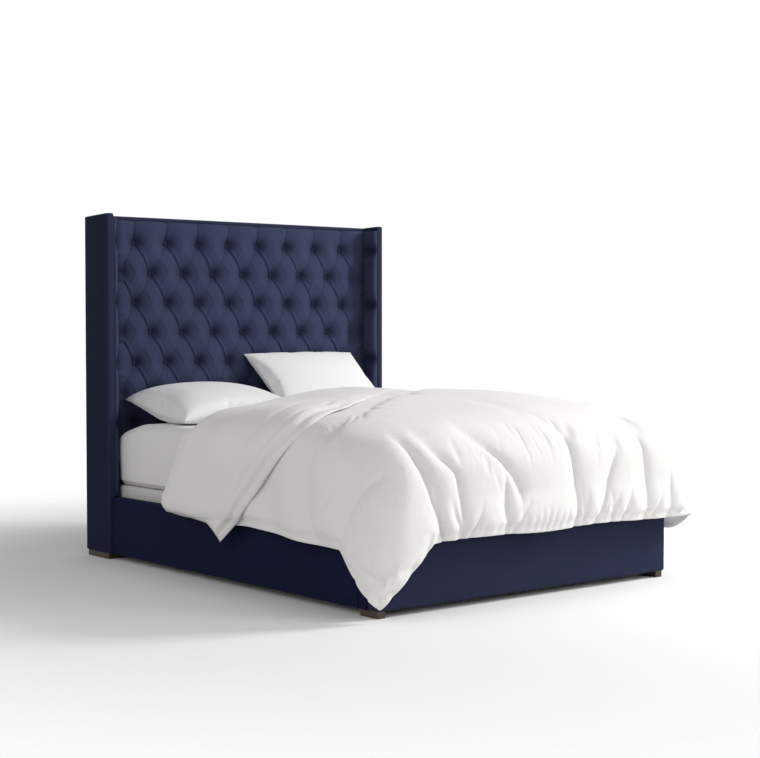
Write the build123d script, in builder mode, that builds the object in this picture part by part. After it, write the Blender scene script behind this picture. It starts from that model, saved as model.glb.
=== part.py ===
"""Queen size bed with a tall diamond-tufted wingback headboard, made up with its bedding.

The velvet covered headboard stands between two thin wings, and two low padded side rails
tie it to a padded footboard. Five slats with centre legs carry the box spring, the
mattress in its fitted sheet, two pillows and a thick duvet with its head end turned back.
Millimetres. +X is right seen from the foot, +Y points to the headboard, +Z is up, and the
origin is on the floor at the middle of the box round everything.
"""

import os
from math import hypot, radians, sin

from build123d import *

os.makedirs("parts", exist_ok=True)

# Bedding as bought
mattress_width = 1524
mattress_length = 2032
mattress_height = 300
mattress_edge_chamfer = 26
mattress_corner_radius = 80
box_spring_height = 229
box_spring_edge_chamfer = 10
box_spring_reveal = 52
sheet_thickness = 1.6
soft_gap = 0.3

# Rails and footboard
leg_height = 27
rail_top = 298
rail_thickness = 51
rail_core_thickness = 28
cover_skin = 3
cover_top_padding = 7
cover_edge_radius = 12
mattress_side_gap = 12
mattress_head_gap = 3
mattress_foot_gap = 4
footboard_thickness = 62
footboard_return = 116

# Headboard and wings
headboard_height = 1646
wing_rise = 6
wing_depth = 222
wing_thickness = 37
wing_core_thickness = 18
wing_overhang = 18
wing_edge_radius = 9
wing_rear_drop = 8
back_cover_thickness = 2
frame_depth = 40
post_width = 70
frame_rail_height = 70
middle_rail_bottom = 930
bottom_rail_bottom = 131
panel_thickness = 12
top_roll_height = 17
top_roll_setback = 9
top_roll_radius = 7
pad_joint_gap = 0.5

# Diamond tufting
tuft_columns = 8
tuft_column_pitch = 181.4
tuft_row_pitch = 146.4
tuft_rows = 6
first_row_drop = 125
button_depth_from_panel = 42
puff_rise = 35
pleat_depth = 20
dimple_radius = 30
button_radius = 12.5
button_rise = 7
wing_pad_thickness = 28
wing_pad_pleat_depth = 11
wing_button_setback = 50
wing_pad_setback = 3
wing_button_rise = 5

# Feet, slats and centre legs
head_leg_width = 100
head_leg_inset = 7
head_leg_setback = 17
foot_leg_width = 41
foot_leg_inset = 9
cleat_width = 30
cleat_height = 30
slat_count = 5
slat_width = 90
slat_thickness = 20
slat_end_gap = 4
slat_first_setback = 130
centre_leg_width = 45
glide_radius = 19
glide_height = 8
glide_chamfer = 3
glide_travel = 12
glide_travel_spare = 2
glide_stem_radius = 4
glide_stem_length = 34
hole_clearance = 0.4

# Brackets and bolts
bracket_thickness = 4
bracket_height = 120
bracket_bottom = 140
bracket_length = 96
bolt_radius = 4
bolt_head_radius = 7
bolt_head_height = 4
bolt_grip = 22
bolt_edge_distance = 24
wing_bolt_count = 3
wing_bolt_first_height = 420
wing_bolt_top_margin = 272
wing_bolt_bite = 12

# Pillows
pillow_length = 700
pillow_depth = 486
pillow_loft = 178
pillow_seam = 12
pillow_side_draw = 16
left_pillow_tilt = 9
right_pillow_tilt = 40
left_pillow_centre = -365
right_pillow_centre = 342
pillow_wall_gap = 1

# Duvet
duvet_overhang = 100
duvet_side_overhang = 90
duvet_hem = 282
duvet_crown = 806
duvet_head_setback = 755
duvet_head_skew = 150
duvet_rail_gap = 5
flap_rise = 14
flap_crease_reach = 6
flap_tip_height = 198
flap_tip_setback = 989
flap_edge_setback = 1415
flap_edge_height = 605
flap_hem_setback = 546
fold_depth = 30
fold_width = 24
corner_fall_height = 42
corner_fall_radius = 24
corner_fall_reach = 46
corner_fall_spread = 200
corner_fall_inset = 125
corner_root = 11
corner_lift_reach = 74
corner_lift_radius = 12

# Places along the bed, from the back of the headboard to the hem over the footboard
bed_stack = back_cover_thickness + frame_depth + panel_thickness + button_depth_from_panel
puff_setback = bed_stack + puff_rise
overall_length = (puff_setback + mattress_head_gap + mattress_length + mattress_foot_gap
                  + footboard_thickness + duvet_overhang)
rear_y = overall_length / 2
wing_front_y = rear_y - wing_depth
frame_rear_y = rear_y - back_cover_thickness
frame_front_y = frame_rear_y - frame_depth
panel_front_y = frame_front_y - panel_thickness
button_y = panel_front_y - button_depth_from_panel
puff_y = button_y - puff_rise
mattress_head_y = puff_y - mattress_head_gap
mattress_foot_y = mattress_head_y - mattress_length
footboard_rear_y = mattress_foot_y - mattress_foot_gap
footboard_front_y = footboard_rear_y - footboard_thickness
return_rear_y = footboard_front_y + footboard_return

# Places across the bed
mattress_side = mattress_width / 2
rail_inner = mattress_side + mattress_side_gap
rail_outer = rail_inner + rail_thickness
core_inner = rail_inner + cover_skin
core_outer = core_inner + rail_core_thickness
wing_outer = rail_outer + wing_overhang
wing_inner = wing_outer - wing_thickness
headboard_side = wing_inner
wing_pad_face = wing_inner - wing_pad_thickness
post_inner = headboard_side - post_width

# Heights
core_bottom = leg_height + cover_skin
core_top = rail_top - cover_top_padding
wing_height = headboard_height + wing_rise
headboard_top = headboard_height - top_roll_height
first_row_height = headboard_height - first_row_drop
panel_bottom = rail_top + cover_skin
box_spring_top = rail_top + box_spring_reveal
box_spring_bottom = box_spring_top - box_spring_height
slat_top = box_spring_bottom - soft_gap
mattress_bottom = box_spring_top + soft_gap
mattress_top = mattress_bottom + mattress_height
bed_top = mattress_top + sheet_thickness
tuft_bottom = first_row_height - tuft_rows * tuft_row_pitch
cleat_top = slat_top - slat_thickness
cleat_bottom = cleat_top - cleat_height

# Bolt places
bracket_bolt_heights = (bracket_bottom + bolt_edge_distance,
                        bracket_bottom + bracket_height - bolt_edge_distance)
post_flange_inner = post_inner + soft_gap
post_bolt_x = (post_flange_inner + core_inner - bracket_thickness) / 2

sides = ((-1, "left"), (1, "right"))

# Small round things are cut as prisms of this many sides
round_sides = 8
button_bevel_share = 0.7
fold_end_share = 0.05


def save(piece, name):
    """Labels a finished piece and writes it to its own file."""
    piece.part.label = name
    export_step(piece.part, f"parts/{name}.step")


def block(x, y, z, mode=Mode.ADD):
    """Puts a plain board, between two places along each axis, into the piece being made."""
    low = [min(pair) for pair in (x, y, z)]
    size = [max(pair) - min(pair) for pair in (x, y, z)]
    with Locations(tuple(low)):
        Box(*size, align=(Align.MIN, Align.MIN, Align.MIN), mode=mode)


def across(side, inner, outer):
    """The two X places of a piece on one side of the bed."""
    return side * inner, side * outer


def drill(origin, direction, radius, depth):
    """Takes a bolt hole, at least this wide all round, out of the piece that is being made."""
    with BuildSketch(Plane(origin=origin, z_dir=direction)) as hole:
        RegularPolygon(radius, round_sides, major_radius=False)
    extrude(hole.sketch, amount=depth, mode=Mode.SUBTRACT)


# The five sticks of the headboard frame: two posts with three rails between them.
frame_places = {
    "headboard_post_left": ((-headboard_side, -post_inner), (leg_height, headboard_top)),
    "headboard_post_right": ((post_inner, headboard_side), (leg_height, headboard_top)),
    "headboard_top_rail": ((-post_inner, post_inner),
                           (headboard_top - frame_rail_height, headboard_top)),
    "headboard_middle_rail": ((-post_inner, post_inner),
                              (middle_rail_bottom, middle_rail_bottom + frame_rail_height)),
    "headboard_bottom_rail": ((-post_inner, post_inner),
                              (bottom_rail_bottom, bottom_rail_bottom + frame_rail_height)),
}
wing_bolt_pitch = (wing_height - wing_bolt_top_margin - wing_bolt_first_height) / (wing_bolt_count - 1)
wing_bolt_places = [(frame_rear_y - frame_depth / 2, wing_bolt_first_height + i * wing_bolt_pitch)
                    for i in range(wing_bolt_count)]
for stick, (stick_x, stick_z) in frame_places.items():
    with BuildPart() as frame_stick:
        block(stick_x, (frame_front_y, frame_rear_y), stick_z)
        if "post" in stick:
            for bolt_y, bolt_z in wing_bolt_places:
                drill((stick_x[0], bolt_y, bolt_z), (1, 0, 0), bolt_radius + hole_clearance, post_width)
            side = 1 if stick_x[0] > 0 else -1
            for bolt_z in bracket_bolt_heights:
                drill((side * post_bolt_x, frame_front_y, bolt_z), (0, 1, 0),
                      bolt_radius + hole_clearance, bolt_grip + hole_clearance)
    save(frame_stick, stick)

# The plywood panel that the foam and the buttons are fixed to.
with BuildPart() as panel:
    block((-headboard_side, headboard_side), (panel_front_y, frame_front_y),
          (panel_bottom, headboard_top))
save(panel, "headboard_panel")

# The velvet that closes the back of the headboard.
with BuildPart() as back_cover:
    block((-headboard_side, headboard_side), (frame_rear_y, rear_y),
          (leg_height, headboard_top))
save(back_cover, "headboard_back_cover")


# One puff from pleat to pleat: shares of its width, and of its rise, that follow an arc
puff_shares = ((0, 0), (0.12, 0.42), (0.32, 0.86), (0.68, 0.86), (0.88, 0.42))


def scallops(u_dir, length_dir, origin, pitch, count, rise, back, reach):
    """A slab whose front is a row of puffs that meet in pleats, run along length_dir."""
    half = count * pitch / 2
    crest = max(rise_share for _, rise_share in puff_shares)
    front = [(puff * pitch - half + width_share * pitch, rise_share * rise / crest)
             for puff in range(count) for width_share, rise_share in puff_shares]
    with BuildPart() as made:
        with BuildSketch(Plane(origin=origin, x_dir=u_dir, z_dir=length_dir)):
            with BuildLine():
                Polyline(*front, (half, 0), (half, -back), (-half, -back), close=True)
            make_face()
        extrude(amount=reach, both=True)
    return made.part


def tufted_slab(along, out, first_button, pleat, back, reach, count):
    """Two crossing rows of scallops, whose pleats run through the buttons both ways."""
    step = hypot(tuft_column_pitch / 2, tuft_row_pitch)
    spacing = tuft_column_pitch * tuft_row_pitch / step
    slabs = []
    for lean in (-1, 1):
        pleat_dir = (along * (lean * tuft_column_pitch / 2) + Vector(0, 0, tuft_row_pitch)) / step
        slabs.append(scallops(out.cross(pleat_dir), pleat_dir, first_button, spacing, count,
                              pleat, back, reach))
    return slabs


# The tufted front of the headboard: foam and velvet drawn in by the buttons.
button_seats = []
for row in range(tuft_rows):
    row_count = tuft_columns if row % 2 == 0 else tuft_columns + 1
    for column in range(row_count):
        button_x = (column - (row_count - 1) / 2) * tuft_column_pitch
        button_seats.append(Plane(origin=(button_x, button_y, first_row_height - row * tuft_row_pitch),
                                  x_dir=(1, 0, 0), z_dir=(0, -1, 0)))
pleat_y = button_y - (puff_rise - pleat_depth)
pad_side = wing_pad_face - pad_joint_gap
pad_top = headboard_top - soft_gap
pad_back = panel_front_y - pleat_y
pad_x = (-pad_side, pad_side)
pad_y = (puff_y - pleat_depth, panel_front_y)
diagonal_count = 2 * (tuft_columns - 1)
grid_centre = Vector(0, pleat_y, first_row_height - tuft_row_pitch)
across_x = Vector(1, 0, 0)
upwards = Vector(0, 0, 1)
forwards = Vector(0, -1, 0)
diagonal_slabs = tufted_slab(across_x, forwards, grid_centre, pleat_depth, pad_back,
                             wing_height, diagonal_count)
with BuildPart() as diamond_zone:
    add(diagonal_slabs[0])
    add(diagonal_slabs[1], mode=Mode.INTERSECT)
    block(pad_x, pad_y, (tuft_bottom, first_row_height), mode=Mode.INTERSECT)

# Each button sits in a four-sided dimple that opens out to the front of the pad
dimple_depth = button_y - pleat_y + pleat_depth
dimple_mouth = 2 * dimple_radius
dimple_corner = dimple_radius - button_radius
with BuildPart() as dimple:
    with Locations((0, 0, dimple_depth / 2)):
        Wedge(dimple_mouth, dimple_depth, dimple_mouth, dimple_corner, dimple_corner,
              dimple_mouth - dimple_corner, dimple_mouth - dimple_corner, rotation=(-90, 0, 0))

with BuildPart() as headboard_pad:
    add(diamond_zone.part)
    # Above the first row of buttons the pleats run straight up
    extrude(diamond_zone.faces().sort_by(Axis.Z)[-1], amount=pad_top - first_row_height)
    block(pad_x, (pleat_y, panel_front_y), (panel_bottom, tuft_bottom))
    with Locations(*button_seats):
        add(dimple.part, mode=Mode.SUBTRACT)
save(headboard_pad, "headboard_pad")


def button(radius, rise):
    """A covered button: flat at the back, with a bevelled dome."""
    with BuildPart() as made:
        with BuildSketch(Plane.XY):
            RegularPolygon(radius, round_sides)
        extrude(amount=rise)
        chamfer(made.faces().sort_by(Axis.Z)[-1].edges(), button_bevel_share * rise)
    return made.part


# The covered buttons, whose strings go through the foam to the panel
headboard_button = button(button_radius - hole_clearance, button_rise)
with BuildPart() as headboard_buttons:
    with Locations(*button_seats):
        add(headboard_button)
save(headboard_buttons, "headboard_buttons")

# The padded roll that finishes the top edge of the headboard.
with BuildPart() as top_roll:
    block((-headboard_side, headboard_side), (puff_y + top_roll_setback, rear_y),
          (headboard_top, headboard_height))
    fillet(top_roll.edges().filter_by(Axis.X), top_roll_radius)
save(top_roll, "headboard_top_roll")

# The wings: a plywood board in a padded velvet cover, with a tufted pad on the inner face.
wing_button_y = wing_front_y + wing_button_setback
wing_core_inner = wing_inner + cover_skin
wing_core_outer = wing_core_inner + wing_core_thickness
wing_pleat_x = wing_pad_face + wing_pad_pleat_depth
wing_pad_top = headboard_top - soft_gap
wing_button_rows = range(0, tuft_rows, 2)
wing_button = button(button_radius - hole_clearance, wing_button_rise)
bolt_hole_length = cover_skin + wing_bolt_bite + hole_clearance


def wing_outline(x, padding, skin):
    """The side view of a wing at one place across the bed, drawn in by its padding."""
    with BuildSketch(Plane.YZ.offset(x)) as outline:
        with BuildLine():
            Polyline((wing_front_y + padding, leg_height + skin), (rear_y - padding, leg_height + skin),
                     (rear_y - padding, wing_height - wing_rear_drop - padding),
                     (wing_front_y + padding, wing_height - padding), close=True)
        make_face()
    return outline.sketch


for side, hand in sides:
    with BuildPart() as wing_core:
        extrude(wing_outline(side * wing_core_inner, cover_top_padding, cover_skin),
                amount=side * wing_core_thickness)
        for bolt_y, bolt_z in wing_bolt_places:
            drill((side * wing_inner, bolt_y, bolt_z), (side, 0, 0), bolt_radius + hole_clearance,
                  bolt_hole_length)
    save(wing_core, f"wing_core_{hand}")

    with BuildPart() as wing_cover:
        extrude(wing_outline(side * wing_inner, 0, 0), amount=side * wing_thickness)
        outer_face = wing_cover.faces().sort_by(Axis.X)[-1 if side > 0 else 0]
        fillet(outer_face.edges(), wing_edge_radius)
        extrude(wing_outline(side * wing_core_inner, cover_top_padding, cover_skin),
                amount=side * wing_core_thickness, mode=Mode.SUBTRACT)
        for bolt_y, bolt_z in wing_bolt_places:
            drill((side * wing_inner, bolt_y, bolt_z), (side, 0, 0), bolt_radius + hole_clearance,
                  cover_skin)
    save(wing_cover, f"wing_cover_{hand}")

    inward = Vector(-side, 0, 0)
    wing_pad_x = across(side, wing_pad_face - wing_pad_pleat_depth, wing_inner)
    pleat_back = wing_inner - wing_pleat_x
    wing_slabs = tufted_slab(Vector(0, 1, 0), inward,
                             Vector(side * wing_pleat_x, wing_button_y, first_row_height),
                             wing_pad_pleat_depth, pleat_back, wing_height, diagonal_count)
    with BuildPart() as wing_diamonds:
        add(wing_slabs[0])
        add(wing_slabs[1], mode=Mode.INTERSECT)
        block(wing_pad_x, (wing_button_y, panel_front_y), (tuft_bottom, wing_pad_top),
              mode=Mode.INTERSECT)
    with BuildPart() as wing_pad:
        add(wing_diamonds.part)
        # In front of the column of buttons the pleats run straight to the edge
        extrude(wing_diamonds.faces().sort_by(Axis.Y)[0],
                amount=wing_button_setback - wing_pad_setback)
        block(across(side, wing_pleat_x, wing_inner),
              (wing_front_y + wing_pad_setback, panel_front_y), (panel_bottom, tuft_bottom))
        for row in wing_button_rows:
            drill((side * (wing_pleat_x + soft_gap), wing_button_y,
                   first_row_height - row * tuft_row_pitch), (-side, 0, 0), button_radius,
                  wing_pad_thickness)
    save(wing_pad, f"wing_pad_{hand}")

    with BuildPart() as wing_buttons:
        for row in wing_button_rows:
            with Locations(Plane(origin=(side * wing_pleat_x, wing_button_y,
                                         first_row_height - row * tuft_row_pitch),
                                 z_dir=(-side, 0, 0))):
                add(wing_button)
    save(wing_buttons, f"wing_buttons_{hand}")

    # The wood block foot under the wing and the headboard post
    with BuildPart() as head_leg:
        block(across(side, wing_outer - head_leg_inset - head_leg_width,
              wing_outer - head_leg_inset),
              (wing_front_y + head_leg_setback, rear_y - head_leg_inset), (0, leg_height))
        chamfer(head_leg.edges().filter_by(Axis.Z), cover_skin)
    save(head_leg, f"head_leg_{hand}")


def bolt(head_radius, head_height, shank_length):
    """A hexagon bolt whose head sits on z = 0 and whose shank runs down from there."""
    with BuildPart() as made:
        with BuildSketch(Plane.XY):
            RegularPolygon(head_radius, 6)
        extrude(amount=head_height)
        with BuildSketch(Plane.XY):
            RegularPolygon(bolt_radius, round_sides)
        extrude(amount=-shank_length)
    return made.part


# Bolts that hold the wings to the headboard posts
wing_bolt = bolt(bolt_head_radius, bolt_head_height, post_width + cover_skin + wing_bolt_bite)
with BuildPart() as wing_bolts:
    for side, hand in sides:
        for bolt_y, bolt_z in wing_bolt_places:
            with Locations(Plane(origin=(side * post_inner, bolt_y, bolt_z), z_dir=(-side, 0, 0))):
                add(wing_bolt)
save(wing_bolts, "wing_bolts")

# The side rails: a board in a padded velvet sleeve, with a cleat for the slats inside.
joint_bolt_places = [(return_rear_y + end * bracket_length / 4, bolt_z)
                     for end in (-1, 1) for bolt_z in bracket_bolt_heights]
head_bolt_y = frame_front_y - bracket_length / 2
hole_radius = bolt_radius + hole_clearance
rail_bolt_seats = []


def rail_sleeve(side, ends, bolt_places):
    """A padded velvet sleeve round a board, with a rounded outer face and holes for the bolts."""
    with BuildPart() as made:
        block(across(side, rail_inner, rail_outer), ends, (leg_height, rail_top))
        long_edges = made.edges().filter_by(Axis.Y).sort_by(Axis.X)
        fillet(long_edges[-2:] if side > 0 else long_edges[:2], cover_edge_radius)
        block(across(side, core_inner, core_outer), ends, (core_bottom, core_top), mode=Mode.SUBTRACT)
        for bolt_y, bolt_z in bolt_places:
            drill((side * rail_inner, bolt_y, bolt_z), (side, 0, 0), hole_radius, cover_skin)
    return made.part


for side, hand in sides:
    with BuildPart() as rail_core:
        block(across(side, core_inner, core_outer), (return_rear_y, frame_front_y),
              (core_bottom, core_top))
        for bolt_y, bolt_z in joint_bolt_places:
            if bolt_y > return_rear_y:
                drill((side * core_inner, bolt_y, bolt_z), (side, 0, 0), hole_radius, bolt_grip)
        for bolt_z in bracket_bolt_heights:
            drill((side * core_inner, head_bolt_y, bolt_z), (side, 0, 0), hole_radius,
                  bolt_grip + hole_clearance)
    save(rail_core, f"side_rail_core_{hand}")

    rail_bolt_places = [place for place in joint_bolt_places if place[0] > return_rear_y]
    with BuildPart() as rail_cover:
        add(rail_sleeve(side, (return_rear_y, wing_front_y), rail_bolt_places))
    save(rail_cover, f"side_rail_cover_{hand}")

    with BuildPart() as cleat:
        block(across(side, rail_inner - cleat_width, rail_inner),
              (return_rear_y, mattress_head_y), (cleat_bottom, cleat_top))
    save(cleat, f"slat_cleat_{hand}")

    # The end of the footboard that turns back along the side
    with BuildPart() as return_core:
        block(across(side, core_inner, core_outer), (footboard_rear_y, return_rear_y),
              (core_bottom, core_top))
        for bolt_y, bolt_z in joint_bolt_places:
            if bolt_y < return_rear_y:
                drill((side * core_inner, bolt_y, bolt_z), (side, 0, 0), hole_radius, bolt_grip)
    save(return_core, f"footboard_return_core_{hand}")

    return_bolt_places = [place for place in joint_bolt_places if place[0] < return_rear_y]
    with BuildPart() as return_cover:
        add(rail_sleeve(side, (footboard_rear_y, return_rear_y), return_bolt_places))
    save(return_cover, f"footboard_return_cover_{hand}")

    with BuildPart() as foot_leg:
        block(across(side, rail_outer - foot_leg_inset - foot_leg_width,
              rail_outer - foot_leg_inset),
              (footboard_front_y + foot_leg_inset, return_rear_y), (0, leg_height))
        chamfer(foot_leg.edges().filter_by(Axis.Z), cover_skin)
    save(foot_leg, f"foot_leg_{hand}")

    # Steel angle from the rail to the headboard post, and flat plate at the footboard joint
    with BuildPart() as head_bracket:
        with BuildSketch(Plane.XY.offset(bracket_bottom)):
            with BuildLine():
                Polyline((side * core_inner, frame_front_y - bracket_length),
                         (side * core_inner, frame_front_y),
                         (side * post_flange_inner, frame_front_y),
                         (side * post_flange_inner, frame_front_y - bracket_thickness),
                         (side * (core_inner - bracket_thickness), frame_front_y - bracket_thickness),
                         (side * (core_inner - bracket_thickness), frame_front_y - bracket_length),
                         close=True)
            make_face()
        extrude(amount=bracket_height)
        for bolt_z in bracket_bolt_heights:
            drill((side * (core_inner - bracket_thickness), head_bolt_y, bolt_z), (side, 0, 0),
                  hole_radius, bracket_thickness)
            drill((side * post_bolt_x, frame_front_y - bracket_thickness, bolt_z), (0, 1, 0),
                  hole_radius, bracket_thickness)
    save(head_bracket, f"head_bracket_{hand}")

    with BuildPart() as joint_plate:
        block(across(side, rail_inner - bracket_thickness, rail_inner),
              (return_rear_y - bracket_length / 2, return_rear_y + bracket_length / 2),
              (bracket_bottom, bracket_bottom + bracket_height))
        for bolt_y, bolt_z in joint_bolt_places:
            drill((side * (rail_inner - bracket_thickness), bolt_y, bolt_z), (side, 0, 0),
                  hole_radius, bracket_thickness)
    save(joint_plate, f"foot_joint_plate_{hand}")

    for bolt_y, bolt_z in joint_bolt_places:
        rail_bolt_seats.append(((side * (rail_inner - bracket_thickness), bolt_y, bolt_z),
                                (-side, 0, 0)))
    for bolt_z in bracket_bolt_heights:
        rail_bolt_seats.append(((side * (core_inner - bracket_thickness), head_bolt_y, bolt_z),
                                (-side, 0, 0)))
        rail_bolt_seats.append(((side * post_bolt_x, frame_front_y - bracket_thickness, bolt_z),
                                (0, -1, 0)))

# Bolts through the brackets and the joint plates
rail_bolt = bolt(bolt_head_radius, bolt_head_height, bolt_grip)
with BuildPart() as rail_bolts:
    for seat, seat_dir in rail_bolt_seats:
        with Locations(Plane(origin=seat, z_dir=seat_dir)):
            add(rail_bolt)
save(rail_bolts, "rail_bolts")

# The footboard: a board in a padded velvet sleeve.
footboard_core_rear_y = footboard_rear_y - cover_skin
footboard_core_front_y = footboard_core_rear_y - rail_core_thickness
with BuildPart() as footboard_core:
    block((-core_outer, core_outer),
          (footboard_core_front_y, footboard_core_rear_y), (core_bottom, core_top))
save(footboard_core, "footboard_core")

with BuildPart() as footboard_cover:
    block((-rail_outer, rail_outer), (footboard_front_y, footboard_rear_y),
          (leg_height, rail_top))
    rear_edges = footboard_cover.faces().sort_by(Axis.Y)[-1].edges()
    front_edges = ShapeList([edge for edge in footboard_cover.edges() if edge not in rear_edges])
    fillet(front_edges, cover_edge_radius)
    block((-core_outer, core_outer),
          (footboard_core_front_y, footboard_core_rear_y), (core_bottom, core_top), mode=Mode.SUBTRACT)
save(footboard_cover, "footboard_cover")

# The slats, which lie on the cleats, with a centre leg and its screw glide under every other one.
slat_first_y = mattress_head_y - slat_first_setback
slat_last_y = return_rear_y + slat_width
slat_spacing = (slat_first_y - slat_last_y) / (slat_count - 1)
leg_bottom = glide_height + glide_travel + glide_travel_spare
stem_hole_top = glide_height + glide_stem_length + glide_travel + glide_travel_spare
for slat_index in range(slat_count):
    slat_y = slat_first_y - slat_index * slat_spacing
    with BuildPart() as slat:
        block((slat_end_gap - rail_inner, rail_inner - slat_end_gap),
              (slat_y - slat_width / 2, slat_y + slat_width / 2), (cleat_top, slat_top))
    save(slat, f"slat_{slat_index + 1}")
    if slat_index % 2 == 0:
        number = slat_index // 2 + 1
        half_leg = centre_leg_width / 2
        with BuildPart() as centre_leg:
            block((-half_leg, half_leg), (slat_y - half_leg, slat_y + half_leg),
                  (leg_bottom, cleat_top))
            drill((0, slat_y, leg_bottom), (0, 0, 1), glide_stem_radius + hole_clearance,
                  stem_hole_top - leg_bottom)
        save(centre_leg, f"centre_leg_{number}")

        with BuildPart() as glide:
            with BuildSketch(Plane((0, slat_y, 0))):
                RegularPolygon(glide_radius, round_sides)
            extrude(amount=glide_height)
            chamfer(glide.edges().group_by(Axis.Z)[-1], glide_chamfer)
            with BuildSketch(Plane((0, slat_y, glide_height))):
                RegularPolygon(glide_stem_radius, round_sides)
            extrude(amount=glide_stem_length)
        save(glide, f"glide_{number}")

# Box spring, mattress and the fitted sheet drawn over it.
with BuildPart() as box_spring:
    block((-mattress_side, mattress_side), (mattress_foot_y, mattress_head_y),
          (box_spring_bottom, box_spring_top))
    fillet(box_spring.edges().filter_by(Axis.Z), mattress_corner_radius)
    chamfer(box_spring.faces().filter_by(Axis.Z).edges(), box_spring_edge_chamfer)
save(box_spring, "box_spring")

with BuildPart() as mattress:
    block((-mattress_side, mattress_side), (mattress_foot_y, mattress_head_y),
          (mattress_bottom, mattress_top))
    fillet(mattress.edges().filter_by(Axis.Z), mattress_corner_radius)
    chamfer(mattress.faces().filter_by(Axis.Z).edges(), mattress_edge_chamfer)
save(mattress, "mattress")

sheet_side = mattress_side + sheet_thickness
sheet_hem = mattress_bottom + mattress_edge_chamfer
with BuildPart() as fitted_sheet:
    block((-sheet_side, sheet_side),
          (mattress_foot_y - sheet_thickness, mattress_head_y + sheet_thickness),
          (sheet_hem, bed_top))
    fillet(fitted_sheet.edges().filter_by(Axis.Z), mattress_corner_radius + sheet_thickness)
    chamfer(fitted_sheet.faces().sort_by(Axis.Z)[-1].edges(), mattress_edge_chamfer + sheet_thickness)
    add(mattress.part, mode=Mode.SUBTRACT)
save(fitted_sheet, "fitted_sheet")

# Pillows: each is the part that two crowned prisms share, one along it and one across it, and its
# plan is drawn in between the corners. Places and heights are shares of the half size.
across_crown_shares = ((-1, 0), (-0.84, 0.42), (-0.5, 0.84), (0, 1), (0.5, 0.84), (0.84, 0.42), (1, 0))
along_crown_shares = ((-1, 0), (-0.9, 0.46), (-0.66, 0.85), (-0.3, 1), (0.3, 1), (0.66, 0.85),
                      (0.9, 0.46), (1, 0))
draw_shares = ((-1, 0), (-0.6, 0.8), (0, 1), (0.6, 0.8))


def crowned(plane, half_span, crown_shares, reach):
    """A prism whose height swells from the seam at both ends to the full loft."""
    rise = (pillow_loft - pillow_seam) / 2
    top = [(place_share * half_span, pillow_seam / 2 + height_share * rise)
           for place_share, height_share in crown_shares]
    with BuildPart() as made:
        with BuildSketch(plane):
            with BuildLine():
                Polyline(*top, *[(place, -height) for place, height in reversed(top)], close=True)
            make_face()
        extrude(amount=reach, both=True)
    return made.part


def pillow():
    """A stuffed pillow lying level."""
    half_length, half_depth = pillow_length / 2, pillow_depth / 2
    front = [(place_share * half_length, draw_share * pillow_side_draw - half_depth)
             for place_share, draw_share in draw_shares]
    right = [(half_length - draw_share * pillow_side_draw, place_share * half_depth)
             for place_share, draw_share in draw_shares]
    back = [(-x, -y) for x, y in front]
    left = [(-x, -y) for x, y in right]
    with BuildPart() as made:
        add(crowned(Plane.YZ, half_depth, across_crown_shares, half_length))
        add(crowned(Plane.XZ, half_length, along_crown_shares, half_depth), mode=Mode.INTERSECT)
        with BuildSketch(Plane.XY):
            with BuildLine():
                Polyline(*front, *right, *back, *left, close=True)
            make_face()
        extrude(amount=pillow_loft, both=True, mode=Mode.INTERSECT)
    return made.part


for hand, tilt, centre_x in (("left", left_pillow_tilt, left_pillow_centre),
                             ("right", right_pillow_tilt, right_pillow_centre)):
    leaning = pillow().rotate(Axis.X, tilt)
    reach = leaning.bounding_box()
    with BuildPart() as placed_pillow:
        with Locations((centre_x, puff_y - pillow_wall_gap - reach.max.Y,
                        bed_top + soft_gap - reach.min.Z)):
            add(leaning)
    save(placed_pillow, f"pillow_{hand}")

# The duvet: level outlines from the hem up to the crown, in shares of its drop and overhang.
duvet_height_shares = (0, 0.3, 0.58, 0.75, 0.87, 1)
duvet_side_shares = (1, 0.985, 0.955, 0.915, 0.807, 0.45)
duvet_foot_shares = (1, 0.99, 0.972, 0.95, 0.889, 0.58)
duvet_corner_shares = (0.11, 0.2, 0.24, 0.26, 0.6, 0.4)
duvet_head_shares = (0.76, 0.8, 0.9, 0.965, 0.99, 1.1)

# The folds of the drop, each where it starts at the hem and where it ends, as shares of the
# half width at the foot or of the length on the sides, with the height share that it ends at
foot_fold_shares = ((-0.58, -0.78, 0.76), (-0.48, -0.66, 0.76), (-0.24, -0.36, 0.76), (0.215, 0.1, 0.74),
                    (0.34, 0.43, 0.5), (0.69, 0.64, 0.7), (0.86, 0.84, 0.4))
left_fold_shares = ((0.66, 0.7, 0.3), (0.8, 0.87, 0.45), (0.89, 0.93, 0.6))
right_fold_shares = ((0.46, 0.5, 0.5), (0.62, 0.6, 0.4), (0.78, 0.83, 0.6), (0.9, 0.93, 0.4))
duvet_half_width = rail_outer + duvet_side_overhang - flap_rise
duvet_foot_y = footboard_front_y - duvet_overhang
duvet_length = wing_front_y - duvet_foot_y


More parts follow.
